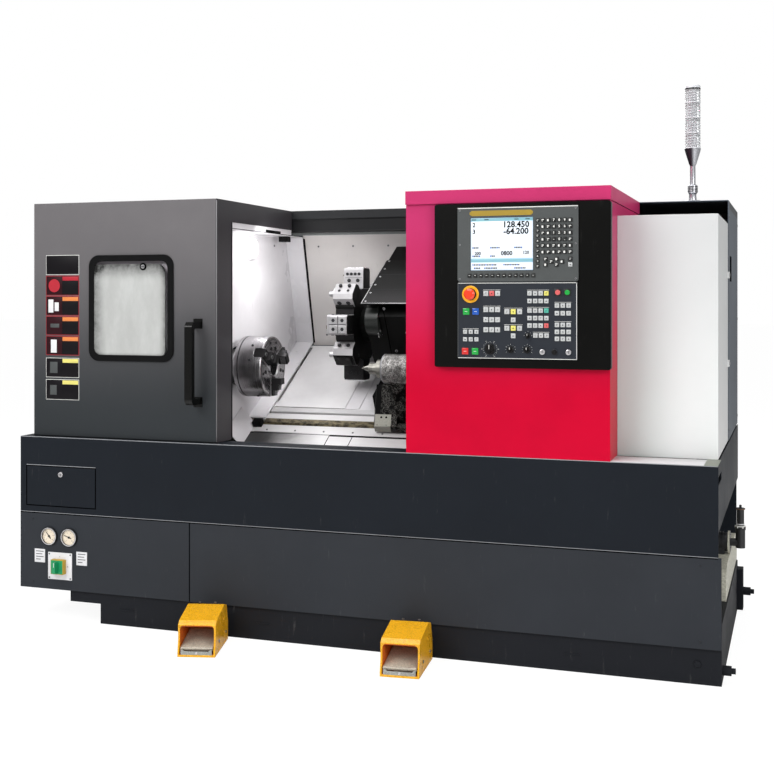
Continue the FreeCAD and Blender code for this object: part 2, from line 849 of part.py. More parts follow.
def side_box():
    """The pale closed box beside the guard, with two latches on its right side."""
    left = "cabinet_right + touch_gap"
    box = block(
        left, "-side_box_front", "base_top", "side_box_right - " + left,
        "side_box_front + wall_front", "side_box_top - base_top"
    )
    hollow = block(
        left + " + skin", "-side_box_front + skin", "base_top - 10",
        "side_box_right - " + left + " - 2 * skin", "side_box_front + wall_front + 10",
        "side_box_top - base_top + 10 - skin"
    )
    latches = []
    for z in ("1050", "1400"):
        latches.append(block("side_box_right", "-42", z, "9", "38", "26"))
    shell = cut(box, hollow, bed_room("cabinet_right - 10", "30"))
    node("side_box", fuse(shell, *latches))


# ---------------------------------------------------------------- chamber linings


def chamber():
    """The left partition with a rim that stands out at the slope, and the leaning back wall."""
    floor_y = "(-spindle_back + floor_down * sin(slope))"
    floor_z = "(spindle_up - floor_down * cos(slope))"

    def on_floor(y):
        return f"{floor_z} + ({y} - {floor_y}) * tan(slope) + 6"

    plate = padded(
        "YZ",
        [[("-chamber_front", "base_top"),
          ("-540", "base_top"),
          ("-250", on_floor("-250")),
          ("back_low_front", "back_low_up + 12"),
          ("back_high_front", "1604"),
          ("-chamber_front", "1604")]],
        "-partition_left",
        "skin",
        [("-spindle_back", "spindle_up", "nose_radius + 12")],
        rounds=[((3,), "60")],
    )
    rim_low = padded(
        "YZ",
        [[("-250", on_floor("-250")), ("back_low_front", "back_low_up + 12"),
          ("back_low_front", "back_low_up + 16"), ("-250", on_floor("-250") + " + 4")]],
        "-partition_left",
        "partition_left - lip_left",
    )
    rim_back = padded(
        "YZ",
        [[("back_low_front", "back_low_up + 12"), ("back_high_front", "1604"),
          ("back_high_front - 4", "1604"), ("back_low_front - 4", "back_low_up + 12")]],
        "-partition_left",
        "partition_left - lip_left",
    )
    rim_top = block("-partition_left", "-chamber_front", "1600", "partition_left - lip_left",
                    "chamber_front + back_high_front - 4", "4")
    node("chamber_left_wall", fuse(plate, rim_low, rim_back, rim_top))
    leaning = padded(
        "YZ",
        [[("back_low_front + 1", "back_low_up"), ("back_low_front + 4", "back_low_up"),
          ("back_high_front + 4", "beam_bottom"), ("back_high_front + 1", "beam_bottom")]],
        "-lip_left",
        "lip_left + chamber_right",
    )
    shelf = block("-lip_left", "wall_front + 40", "beam_bottom - skin",
                  "lip_left + chamber_right", "back_high_front - wall_front - 36", "skin")
    node("chamber_back_wall", fuse(leaning, shelf))
    lamp = [("0", "0"), ("0", "light_radius"), ("14", "light_radius"),
            ("22", "light_radius - 8"), ("22", "0")]
    node("work_light", turned("X", "-partition_left + skin", "-light_front", "light_up", lamp))


# ---------------------------------------------------------------- operator panel


def operator_panel():
    back = "-base_depth / 2"
    face = f"({back} - frame_proud)"
    left, right, low, high = "frame_left", "frame_right", "frame_bottom", "frame_top"
    frame = padded(
        "XZ",
        [[(left, low), (right, low), (right, high), (left, high)]],
        face,
        "frame_proud",
        rounds=[((0, 1, 2, 3), "8")],
    )
    pockets = []
    for name in ("display", "board"):
        pockets.append(block(
            f"{name}_left - touch_gap", face + " - 5", f"{name}_bottom - touch_gap",
            f"{name}_right - {name}_left + 2 * touch_gap", "5 + pocket",
            f"{name}_top - {name}_bottom + 2 * touch_gap"
        ))
    node("operator_frame", cut(frame, *pockets))
    unit = padded(
        "XZ",
        [[("display_left", "display_bottom"), ("display_right", "display_bottom"),
          ("display_right", "display_top"), ("display_left", "display_top")]],
        face + " - board_proud",
        "pocket + board_proud",
        rounds=[((0, 1, 2, 3), "10")],
    )
    recess = block("screen_left", face + " - board_proud - 5", "screen_bottom",
                   "screen_right - screen_left", "9", "screen_top - screen_bottom")
    node("display_unit", cut(unit, recess))
    node("display_screen", block(
        "screen_left", face + " - board_proud + 2", "screen_bottom",
        "screen_right - screen_left", "2", "screen_top - screen_bottom"
    ))
    board = padded(
        "XZ",
        [[("board_left", "board_bottom"), ("board_right", "board_bottom"),
          ("board_right", "board_top"), ("board_left", "board_top")]],
        face + " - board_proud",
        "pocket + board_proud",
        rounds=[((0, 1, 2, 3), "6")],
    )
    front = face + " - board_proud"
    collar = turned("Y", "stop_left", front, "stop_up",
                    [("0", "0"), ("0", "collar_radius"), ("-4", "collar_radius"),
                     ("-4", "0")])
    wells = [
        rod("Y", "stop_left", front + " - 10", "stop_up", "8 + touch_gap", "20"),
        rod("Y", "857", front + " - 10", "push_up", "push_radius - 2 + touch_gap", "18"),
        rod("Y", "891", front + " - 10", "push_up", "push_radius - 2 + touch_gap", "18"),
    ]
    barrels = []
    for x in (802, 845, 895):
        ring = [("0", "0"), ("0", "10"), ("-4", "10"), ("-6", "8"), ("-6", "0")]
        barrels.append(turned("Y", x, front, "1131", ring))
    node("control_board", cut(fuse(board, collar, *barrels), *wells))
    keys(front)
    knobs(front)


def key(x, z, front, side="key_side"):
    return block(f"{x} - ({side}) / 2", front + " - key_proud", f"{z} - ({side}) / 2",
                 side, "key_proud", side)


def keys(front):
    """Every key of the display and of the board, as one set of separate caps."""
    caps = []
    for row in range(10):
        caps.append(key(785, 1596 - 18 * row, front, "key_side - 2"))
    for column in range(6):
        for row in range(6):
            caps.append(key(804 + 19.4 * column, 1596 - 22.4 * row, front))
    for x, z in ((814, 1459), (814, 1439), (834, 1450), (853, 1459), (853, 1439), (872, 1450),
                 (901, 1459), (901, 1439)):
        caps.append(key(x, z, front))
    for column in range(12):
        caps.append(key(536 + 21.2 * column, 1402, front, "key_side - 1"))
    for first_x, step_x, columns, first_z, step_z, rows in (
        (524, 35, 2, 1273, 30, 1), (520, 21, 3, 1200, 27, 2), (520, 37, 2, 1130, 30, 1),
        (597, 21.5, 3, 1338, 30, 1), (597, 21.5, 3, 1280, 36, 3), (674, 23, 3, 1273, 30, 1),
        (674, 23, 3, 1214, 30, 1), (697, 23, 1, 1243.5, 56.5, 2), (756, 20, 4, 1338, 27, 2),
        (756, 20, 4, 1277, 26.5, 3), (777, 20, 3, 1189, 20, 1), (854, 20.5, 3, 1295, 27, 2),
        (854, 20.5, 3, 1227, 24.5, 3),
    ):
        for column in range(columns):
            for row in range(rows):
                caps.append(key(first_x + step_x * column, first_z - step_z * row, front))
    node("panel_keys", group(*caps))


def knobs(front):
    stem = [("2", "0"), ("2", "8"), ("-9", "8"), ("-14", "mushroom_radius - 9"),
            ("-16", "mushroom_radius"), ("-22", "mushroom_radius"),
            ("-28", "mushroom_radius - 7"), ("-28", "0")]
    node("stop_button", turned("Y", "stop_left", front, "stop_up", stem))
    for label, x, z, radius in (
        ("feed_knob", "612", "1139", "feed_knob_radius"),
        ("mode_knob_left", "687", "1138", "dial_knob_radius"),
        ("mode_knob_right", "747", "1138", "dial_knob_radius"),
        ("spindle_knob", "750", "1189", "dial_knob_radius - 3"),
    ):
        skirt = [("-touch_gap", "0"), ("-touch_gap", radius), ("-3", radius),
                 ("-5", radius + " - 3"), ("-13", radius + " - 4"), ("-13", "0")]
        grip = block(f"{x} - 2.5", front + " - 18", f"{z} - {radius} + 3", "5", "14",
                     f"2 * ({radius}) - 6")
        node(label, fuse(turned("Y", x, front, z, skirt), grip))
    for label, x in (("start_button", "857"), ("hold_button", "891")):
        cap = [("2", "0"), ("2", "push_radius - 2"), ("-3", "push_radius - 2"),
               ("-3", "push_radius"), ("-7", "push_radius"), ("-8", "push_radius - 1"),
               ("-8", "0")]
        node(label, turned("Y", x, front, "push_up", cap))


# ---------------------------------------------------------------- headstock, spindle and chuck


def headstock():
    top = "head_half - 30"
    casting = padded(
        "YZ",
        [[("-head_half", "-bed_low"), ("head_half + 130", "-bed_low"),
          ("head_half", "-head_half + 40"), ("head_half", top), ("head_half - 60", "head_half"),
          ("-head_half + 60", "head_half"), ("-head_half", top)]],
        "-head_left",
        "head_left - head_right",
        [("0", "0", "bore_radius")],
    )
    filled = block("-head_left", "-head_half", "-bed_low", "head_left - head_right",
                   "head_half + way_step_back", "bed_low - way_step")
    node("headstock", sloped(cut(casting, filled)))


def spindle():
    """The hollow spindle with its belt pulley at the left and its nose at the right."""
    profile = [
        ("-spindle_left", "draw_bore"), ("-spindle_left", "pulley_radius"),
        ("-spindle_left + pulley_width", "pulley_radius"),
        ("-spindle_left + pulley_width", "spindle_radius - 15"),
        ("-head_left", "spindle_radius - 15"), ("-head_left", "spindle_radius"),
        ("-head_right", "spindle_radius"), ("-head_right + 12", "nose_radius"),
        ("-chuck_back", "nose_radius"), ("-chuck_back", "draw_bore"),
    ]
    node("spindle", turned("X", "0", "-spindle_back", "spindle_up", profile))


def chuck():
    profile = [
        ("-chuck_back", "draw_bore"), ("-chuck_back", "chuck_radius - 6"),
        ("-chuck_back + 6", "chuck_radius"), ("-chuck_face - 5", "chuck_radius"),
        ("-chuck_face", "chuck_radius - 5"), ("-chuck_face", "draw_bore"),
    ]
    body = turned("X", "0", "-spindle_back", "spindle_up", profile)
    slots = []
    for turn in (0, 120, 240):
        slot = block("-chuck_face - jaw_sunk", "-jaw_width / 2 - jaw_gap", "0",
                     "jaw_sunk + 20", "jaw_width + 2 * jaw_gap", "chuck_radius + 10")
        slots.append(moved(slot, "0", "-spindle_back", "spindle_up", X_AXIS,
                           f"chuck_turn + {turn}"))
    node("chuck_body", cut(body, *slots))
    for number, turn in enumerate((0, 120, 240), start=1):
        steps = padded(
            "XZ",
            [[("-chuck_face - jaw_sunk + touch_gap", "jaw_bottom"),
              ("-chuck_face + jaw_proud", "jaw_bottom"),
              ("-chuck_face + jaw_proud", "jaw_bottom + 26"),
              ("-chuck_face + jaw_proud - 14", "jaw_bottom + 26"),
              ("-chuck_face + jaw_proud - 14", "jaw_bottom + 50"),
              ("-chuck_face + 10", "jaw_bottom + 50"),
              ("-chuck_face + 10", "jaw_top"),
              ("-chuck_face - jaw_sunk + touch_gap", "jaw_top")]],
            "-jaw_width / 2",
            "jaw_width",
        )
        node(f"chuck_jaw_{number}",
             moved(steps, "0", "-spindle_back", "spindle_up", X_AXIS, f"chuck_turn + {turn}"))


def drive():
    """The spindle's motor low in the base, its pulley, and the motor of the long screw."""
    shell = [("-motor_left + 40", "0"), ("-motor_left + 40", "motor_radius - 12"),
             ("-motor_left + 52", "motor_radius"), ("-motor_right - 30", "motor_radius"),
             ("-motor_right", "motor_radius - 25"), ("-motor_right", "0")]
    ribs = []
    for number in range(8):
        rib = block("-motor_left + 70", "-4", "motor_radius - 10",
                    "motor_left - motor_right - 130", "8", "24")
        ribs.append(moved(rib, "0", "-motor_back", "motor_up", X_AXIS, str(45 * number + 22.5)))
    foot = block(
        "-motor_left + 90", "-motor_back + 40", "motor_up - 60", "motor_left - motor_right - 180",
        "motor_back - 440", "120"
    )
    case = turned("X", "0", "-motor_back", "motor_up", shell)
    screw_motor = moved(fuse(
        block("bed_right", "265", "-screw_down - 65", "100", "130", "130"),
        block("bed_right + 100", "280", "-screw_down - 50", "36", "100", "100"),
    ), "0", "-spindle_back", "spindle_up", X_AXIS, "slope")
    node("drive_motors", group(fuse(case, foot, *ribs), screw_motor))
    pulley = [("-spindle_left", "0"), ("-spindle_left", "motor_pulley_radius"),
              ("-spindle_left + pulley_width", "motor_pulley_radius"),
              ("-spindle_left + pulley_width", "22"), ("-motor_left + 40 - touch_gap", "22"),
              ("-motor_left + 40 - touch_gap", "0")]
    node("motor_pulley", turned("X", "0", "-motor_back", "motor_up", pulley))
    drive_belt()


def drive_belt():
    """A flat belt loop: two arcs joined by their outer tangents, hollow inside."""
    top = FreeCAD.Vector(0, -SHEET.spindle_back, SHEET.spindle_up)
    low = FreeCAD.Vector(0, -SHEET.motor_back, SHEET.motor_up)
    along = low - top
    reach = along.Length
    along.normalize()
    across = X_AXIS.cross(along)

    def loop(extra):
        large = SHEET.pulley_radius + extra
        small = SHEET.motor_pulley_radius + extra
        lean = math.asin((large - small) / reach)

        def rim(centre, radius, side):
            return centre + (along * math.sin(lean) + across * side * math.cos(lean)) * radius

        arc_top = Part.Arc(rim(top, large, 1), top - along * large, rim(top, large, -1))
        arc_low = Part.Arc(rim(low, small, -1), low + along * small, rim(low, small, 1))
        edges = [arc_top.toShape(), Part.makeLine(rim(top, large, -1), rim(low, small, -1)),
                 arc_low.toShape(), Part.makeLine(rim(low, small, 1), rim(top, large, 1))]
        return Part.Face(Part.Wire(edges)).extrude(X_AXIS * (SHEET.pulley_width - 10))

    belt = DOC.addObject("Part::Feature", "belt")
    belt.Shape = loop(SHEET.touch_gap + SHEET.belt_thick).cut(loop(SHEET.touch_gap))
    node("drive_belt", place(belt, "-spindle_left + 5"))


# ---------------------------------------------------------------- ways, saddle and turret


def ways():
    rails = []
    for u in ("rail_front", "rail_back"):
        rails.append(block("-540", f"{u} - rail_wide / 2", "-bed_low", "bed_right + 520",
                           "rail_wide", "rail_high"))
    for u in ("-tail_way_front", "tail_way_back"):
        rails.append(block(
            "-lip_left + 5", f"{u} - tail_way_wide / 2", "-way_step", "1500", "tail_way_wide",
            "way_step - tail_way_top"
        ))
    node("guide_rails", sloped(*rails))


def way_covers():
    """The sheets over the ways: a fixed leaf at each end and a loose one that follows."""
    front, depth = "way_step_back + 8", "leaf_back - way_step_back - 8"
    outer_left = block("-lip_left - 20", front, "-floor_down - skin", "lip_left + 20 - 183", depth,
                       "skin")
    right = block("580", front, "-floor_down - 2 * skin - touch_gap", "450", depth, "skin")
    legs = []
    for x, drop in (("-lip_left - 20", "floor_down + skin"),
                    ("1012", "floor_down + 2 * skin + touch_gap")):
        legs.append(block(x, front, "-bed_low", "12", "30", f"bed_low - ({drop})"))
        legs.append(block(x, "leaf_back - 30", "-bed_low", "12", "30", f"bed_low - ({drop})"))
    apron = block("-lip_left - 20", "-250", "-floor_down - skin", "lip_left + 1000",
                  "250 - tail_way_front - tail_way_wide / 2 - 2", "skin")
    middle = block(
        "-lip_left - 20", "-tail_way_front + tail_way_wide / 2 + 2", "-floor_down - skin",
        "lip_left + 1000", "tail_way_front + tail_way_back - tail_way_wide - 4", "skin"
    )
    posts = []
    for x in ("-400", "300", "900"):
        posts.append(block(x, "-200", "-way_step", "20", "120", "way_step - floor_down - skin"))
        posts.append(block(x, "-10", "-way_step", "20", "20", "way_step - floor_down - skin"))
    left = fuse(outer_left, legs[0], legs[1])
    plain = fuse(right, legs[2], legs[3])
    strips = fuse(apron, posts[0], posts[2], posts[4])
    channel = fuse(middle, posts[1], posts[3], posts[5])
    node("way_covers", sloped(left, plain, strips, channel))
    loose = block("-430", front, "-floor_down - 2 * skin - touch_gap", "310", depth, "skin")
    node("way_cover_middle", sloped(loose))


def saddle():
    """The carriage with its cross rails, its cover leaves and the side plate of the guard."""
    depth = "saddle_back - saddle_front"
    base = block("-saddle_left", "saddle_front", "-saddle_down", "saddle_left + saddle_right",
                 depth, "saddle_down - saddle_top")
    shoes = []
    for u in ("rail_front", "rail_back"):
        shoes.append(block(
            "-saddle_left", f"{u} - rail_wide / 2 - 20", "-bed_low + 6",
            "saddle_left + saddle_right", "rail_wide + 40", "bed_low - saddle_down - 6"
        ))
    tunnels = []
    for u in ("rail_front", "rail_back"):
        tunnels.append(block(
            "-saddle_left - 10", f"{u} - rail_wide / 2 - touch_gap", "-bed_low - 5",
            "saddle_left + saddle_right + 20", "rail_wide + 2 * touch_gap",
            "rail_high + 5 + touch_gap"
        ))
    nut = block("60", "screw_back - 32", "-bed_low + 4", "100", "64",
                "bed_low - saddle_down - 4")
    screw_way = rod("X", "50", "screw_back", "-screw_down", "screw_radius + 0.05", "120")
    cross_rails = []
    for x in ("0", "160"):
        cross_rails.append(block(x, "saddle_front + 10", "-saddle_top", "40", depth + " - 10",
                                 "22"))
    leaf_front, leaf_depth = "way_step_back + 8", "leaf_back - way_step_back - 8"
    left_leaf = block("-390", leaf_front, "-floor_down - 3 * skin - 2 * touch_gap", "341",
                      leaf_depth, "skin")
    right_leaf = block("saddle_right - 1", leaf_front, "-floor_down - skin", "396", leaf_depth,
                       "skin")
    wall = block("saddle_right - 10", "saddle_front + 120", "-saddle_top", "6",
                 depth + " - 120", "saddle_top + cross_top - 8")
    guard = block("-57", "430", "cross_top - 6", "saddle_right + 53", "cover_back - 430", "4")
    shelf = block("saddle_right - 10", "saddle_back - 1", "cross_top - 20", "6",
                  "cover_back - saddle_back - 12", "14")
    ends = []
    for u in ("saddle_front + 8", "saddle_back - 28"):
        ends.append(block("90", u, "-saddle_top", "50", "20", "24"))
    cross_screw = rod("Y", "115", "saddle_front + 10", "-saddle_top + 12", "8", depth + " - 20")
    carriage = cut(fuse(base, *shoes, nut, *cross_rails, cross_screw, left_leaf, right_leaf, wall,
                        guard, shelf, *ends), *tunnels, screw_way)
    node("saddle", sloped(carriage))
    node("long_screw", sloped(rod("X", "-480", "screw_back", "-screw_down", "screw_radius",
                                  "bed_right + 480 - touch_gap")))


def turret():
    """The cross slide with its guard leaf, the indexing disc and its tool blocks."""
    slide = padded(
        "YZ",
        [[("cross_front", "-cross_low"), ("cross_back", "-cross_low"),
          ("cross_back", "cross_top - 6 - 10"), ("cross_front + 60", "cross_top - 16"),
          ("cross_front", "cross_top - 60")]],
        "-55",
        "55 + cross_right",
    )
    feet = []
    for x in ("-12", "148"):
        feet.append(block(x, "cross_front", "-saddle_top + 4", "64", "cross_back - cross_front",
                          "saddle_top - cross_low - 4"))
    grooves = []
    for x in ("0", "160"):
        grooves.append(block(f"{x} - touch_gap", "cross_front - 10", "-saddle_top - 1",
                             "40 + 2 * touch_gap", "cross_back - cross_front + 20",
                             "23 + touch_gap"))
    leaf = block("-57", "cover_front", "cover_top - 4", "saddle_right + 53", "380", "4")
    stays = []
    for x in ("-50", "200"):
        stays.append(block(x, "cross_front + 60", "cross_top - 16", "20", "100",
                           "cover_top - cross_top + 14"))
    neck = rod("X", "-turret_left + turret_width + touch_gap", "turret_up_slope", "0",
               "neck_radius", "turret_left - turret_width - 50")
    node("cross_slide", sloped(cut(fuse(slide, *feet, leaf, *stays, neck), *grooves)))
    grooves.append(block("95", "cross_front - 10", "-saddle_top - 1", "40",
                         "cross_back - cross_front + 20", "31"))
    disc = padded(
        "YZ",
        [[(f"turret_radius * cos({45 * i + 22.5})", f"turret_radius * sin({45 * i + 22.5})")
          for i in range(8)]],
        "0",
        "turret_width",
        [("0", "0", "20")],
    )
    place(disc, "-turret_left", "turret_up_slope", "0", X_AXIS, "turret_turn")
    hub = turned("X", "-turret_left", "turret_up_slope", "0",
                 [("-12", "0"), ("-12", "48"), ("0", "62"), ("10", "62"), ("10", "0")])
    node("turret_disc", sloped(fuse(disc, hub)))
    holders = []
    for number in range(8):
        if number % 2:
            outline = [("-42", "0"), ("42", "0"), ("42", "holder_tall - 14"),
                       ("20", "holder_tall"), ("-30", "holder_tall"), ("-42", "holder_tall - 24")]
        else:
            outline = [("-48", "0"), ("48", "0"), ("48", "40"), ("30", "62"), ("-30", "62"),
                       ("-48", "48")]
        holder = padded("YZ", [outline], "0", "holder_width")
        flat = "turret_radius * cos(22.5)"
        angle = f"turret_turn + {45 * number}"
        holders.append(place(
            holder, "-turret_left - 5",
            f"turret_up_slope - sin({angle}) * {flat}", f"cos({angle}) * {flat}", X_AXIS,
            angle
        ))
    node("tool_holders", sloped(*holders))


def tailstock():
    """The tailstock casting, its sliding quill and the revolving centre."""
    barrel = rod("X", "barrel_left", "0", "0", "barrel_radius", "barrel_right - barrel_left")
    column = padded(
        "YZ",
        [[("-58", "-tail_way_top + 24"), ("66", "-tail_way_top + 24"), ("58", "-90"),
          ("50", "-10"), ("-50", "-10"), ("-52", "-90")]],
        "barrel_left + 30",
        "barrel_right - barrel_left - 30",
    )
    foot = block("barrel_left", "-90", "-tail_way_top + touch_gap", "barrel_right - barrel_left + 30",
                 "160", "26 - touch_gap")
    guard = padded(
        "YZ",
        [[("-84", "-tail_way_top + 26"), ("-60", "-tail_way_top + 26"), ("40", "-112"),
          ("30", "-98")]],
        "barrel_left - 62",
        "96",
    )
    sole = block("barrel_left - 62", "-90", "-tail_way_top + touch_gap", "70", "60",
                 "28 - touch_gap")
    bore = rod("X", "barrel_left - 5", "0", "0", "quill_radius + touch_gap",
               "barrel_right - barrel_left + 10")
    casting = cut(fuse(barrel, column, foot, sole, guard), bore)
    node("tailstock", sloped(casting))
    profile = [
        ("quill_left", "centre_radius - 6 + touch_gap"), ("quill_left", "quill_radius"),
        ("barrel_right - 20", "quill_radius"), ("barrel_right - 20", "0"),
        ("quill_left + 90 + touch_gap", "0"),
        ("quill_left + 90 + touch_gap", "centre_radius - 6 + touch_gap"),
    ]
    node("quill", turned("X", "0", "-spindle_back", "spindle_up", profile))
    tip = [("-centre_tip", "0"), ("5", "16"), ("5", "centre_radius"),
           ("quill_left - touch_gap", "centre_radius"),
           ("quill_left - touch_gap", "centre_radius - 6"),
           ("quill_left + 90", "centre_radius - 6"), ("quill_left + 90", "0")]
    node("live_centre", turned("X", "0", "-spindle_back", "spindle_up", tip))


# ---------------------------------------------------------------- signal tower and right end


def tower():
    stand = [("0", "0"), ("0", "34"), ("6", "34"), ("8", "16"), ("38", "14"), ("43", "20"),
             ("62", "20"), ("68", "11"), ("149", "11"), ("158", "16"),
             ("tower_lamp_bottom - enclosure_top - 12", "tower_lamp_radius"),
             ("tower_lamp_bottom - enclosure_top", "tower_lamp_radius + 2"),
             ("tower_lamp_bottom - enclosure_top", "0")]
    base = turned("Z", "tower_right", "tower_back", "enclosure_top", stand)
    lamps = [("0", "0")]
    rise = "(tower_top - tower_lamp_bottom - 14) / 4"
    for number in range(4):
        lamps.append((f"{number} * {rise}", "tower_lamp_radius - 3"))
        lamps.append((f"{number} * {rise} + 6", "tower_lamp_radius"))
        lamps.append((f"{number + 1} * {rise} - 6", "tower_lamp_radius"))
        lamps.append((f"{number + 1} * {rise} - 1", "tower_lamp_radius - 3"))
    lamps += [("4 * " + rise, "tower_lamp_radius"),
              ("tower_top - tower_lamp_bottom - 6", "tower_lamp_radius"),
              ("tower_top - tower_lamp_bottom", "tower_lamp_radius - 9"),
              ("tower_top - tower_lamp_bottom", "0")]
    stack = turned("Z", "tower_right", "tower_back", "tower_lamp_bottom", lamps)
    node("signal_tower", fuse(base, stack))


# ---------------------------------------------------------------- foot switches


def pedals():
    """Two foot switches, each a cast hood with a tilting treadle inside."""
    spots = ((1, "-509", "-1028", "15.5"), (2, "273", "-1000", "6"))
    hoods = []
    for number, x, y, angle in spots:
        outer = [("0", "0"), ("pedal_length", "0"), ("pedal_length", "70"),
                 ("pedal_length - 28", "pedal_height - 12"), ("pedal_length - 70", "pedal_height"),
                 ("20", "pedal_front_height + 6"), ("0", "pedal_front_height - 6"), ("0", "60"),
                 ("-12", "14"), ("-12", "0")]
        shell = padded("YZ", [outer], "0", "pedal_width",
                       rounds=[((2, 3, 4), "20"), ((6, 5), "8")])
        inner = [("-30", "8"), ("pedal_length - 60", "8"), ("pedal_length - 60", "95"),
                 ("pedal_length - 90", "pedal_height - 16"), ("-30", "pedal_front_height - 14")]
        mouth = padded("YZ", [inner], "pedal_wall", "pedal_width - 2 * pedal_wall",
                       rounds=[((2, 3), "15")])
        hoods.append(place(cut(shell, mouth), x, y, "0", Z_AXIS, angle))
        tread = padded(
            "YZ",
            [[("-2", "22"), ("150", "50"), ("160", "62"), ("150", "62"), ("0", "34"),
              ("-8", "30")]],
            "pedal_wall + 4",
            "pedal_width - 2 * pedal_wall - 8",
        )
        lug = rod("X", "pedal_wall + 40", "18", "15 + touch_gap", "7",
                  "pedal_width - 2 * pedal_wall - 80")
        web = block("pedal_wall + 40", "13", "15 + touch_gap", "pedal_width - 2 * pedal_wall - 80",
                    "10", "14")
        node(f"pedal_treadle_{number}", place(fuse(tread, lug, web), x, y, "0", Z_AXIS, angle))
    node("pedal_hoods", group(*hoods))


def check_and_write():
    DOC.recompute()
    failed = [o.Name for o in DOC.Objects if {"Invalid", "Error"} & set(o.State)]
    if failed:
        raise RuntimeError("failed objects: " + ", ".join(failed))
    os.makedirs("parts", exist_ok=True)
    for piece in NODES:
        shape = piece.Shape
        if shape.isNull() or not shape.isValid() or not shape.Solids:
            raise RuntimeError("bad shape: " + piece.Label)
        shape.exportStep(f"parts/{piece.Label}.step")
    print(len(NODES), "sub-parts written")


def main():
    fill_sheet()
    coolant_tank()
    coolant_pump()
    bed_casting()
    levelling_feet()
    upper_front_cover()
    lower_front_covers()
    side_covers()
    hatch()
    gauges()
    main_switch()
    main_door()
    door_window()
    door_handle()
    headstock_cover()
    rear_cover()
    red_cabinet()
    side_box()
    chamber()
    operator_panel()
    headstock()
    spindle()
    chuck()
    drive()
    ways()
    way_covers()
    saddle()
    turret()
    tailstock()
    tower()
    pedals()
    check_and_write()


main()
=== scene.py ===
"""Dresses the turning lathe: finishes for its solids, fine pieces on them, a floor and light."""
import math
from itertools import product

import bmesh
import bpy
from mathutils import Matrix, Vector


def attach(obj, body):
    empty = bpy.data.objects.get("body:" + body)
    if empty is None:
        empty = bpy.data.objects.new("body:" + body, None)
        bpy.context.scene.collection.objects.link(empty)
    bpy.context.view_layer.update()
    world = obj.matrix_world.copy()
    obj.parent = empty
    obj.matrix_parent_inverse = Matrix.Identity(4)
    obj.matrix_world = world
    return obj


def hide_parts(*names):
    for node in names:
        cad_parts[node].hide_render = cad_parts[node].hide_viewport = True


bl_info = {
    "name": "Turning lathe",
    "version": (1, 0, 0),
    "blender": (4, 5, 0),
    "location": "View3D > Sidebar > Lathe",
    "description": "Builds the finishes and fine pieces of a slant-bed turning lathe",
    "category": "Object",
}

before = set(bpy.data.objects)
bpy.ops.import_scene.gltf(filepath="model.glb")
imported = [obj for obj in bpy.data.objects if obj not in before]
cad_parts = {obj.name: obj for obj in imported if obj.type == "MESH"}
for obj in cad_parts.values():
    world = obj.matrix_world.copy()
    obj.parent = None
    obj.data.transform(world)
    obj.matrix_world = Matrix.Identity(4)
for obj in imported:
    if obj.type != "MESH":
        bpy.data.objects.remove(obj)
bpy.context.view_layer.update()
MM = 0.001
SPINDLE = Vector((0, -363, 1035))
AXIS_FRONT, AXIS_HIGH = 0.363, 1.035    # the spindle's axis again, in metres
HERE = Matrix.Identity(4)
SLOPED = Matrix.Translation(SPINDLE) @ Matrix.Rotation(math.radians(30), 4, "X")
BASE, DOOR, PANEL = (Matrix.Translation((0, y, 0)) for y in (-750, -720, -780))    # their fronts
AXES = {"X": Matrix(((0, 0, 1), (1, 0, 0), (0, 1, 0))),
        "Y": Matrix(((1, 0, 0), (0, 0, 1), (0, 1, 0))),
        "Z": Matrix.Identity(3)}
SHARP = math.radians(35)    # edges that turn more than this stay hard
FINISH = {}


def tone(colour, factor=1):
    """Three numbers to 255 are a screen colour, four are ready for the shader; factor scales it."""
    if len(colour) == 3:
        colour = [part / 12.92 if part <= 0.04045 else ((part + 0.055) / 1.055) ** 2.4
                  for part in (value / 255 for value in colour)]
    return (colour[0] * factor, colour[1] * factor, colour[2] * factor, 1)


# ---------------------------------------------------------------- shader maths


def operator(operation, swapped=False):
    """One of Python's operators, made as a Math node."""
    def method(self, other):
        first, second = (other, self) if swapped else (self, other)
        return self.sheet.add("ShaderNodeMath", {"operation": operation}, {0: first, 1: second})
    return method


class Wire:
    """One output socket, with Python's operators on it."""
    __add__ = __radd__ = operator("ADD")
    __sub__ = operator("SUBTRACT")
    __rsub__ = operator("SUBTRACT", swapped=True)
    __mul__ = __rmul__ = operator("MULTIPLY")
    __pow__ = operator("POWER")
    __gt__ = operator("GREATER_THAN")
    __lt__ = operator("LESS_THAN")

    def __init__(self, sheet, socket):
        self.sheet = sheet
        self.socket = socket

    def clamp(self):
        return self.sheet.add("ShaderNodeClamp", {}, {"Value": self, "Min": 0, "Max": 1})

    def ramp(self, low, high):
        """0 below low and 1 above high, eased between."""
        return self.sheet.add("ShaderNodeMapRange", {"interpolation_type": "SMOOTHSTEP"},
                              {"Value": self, "From Min": low, "From Max": high})


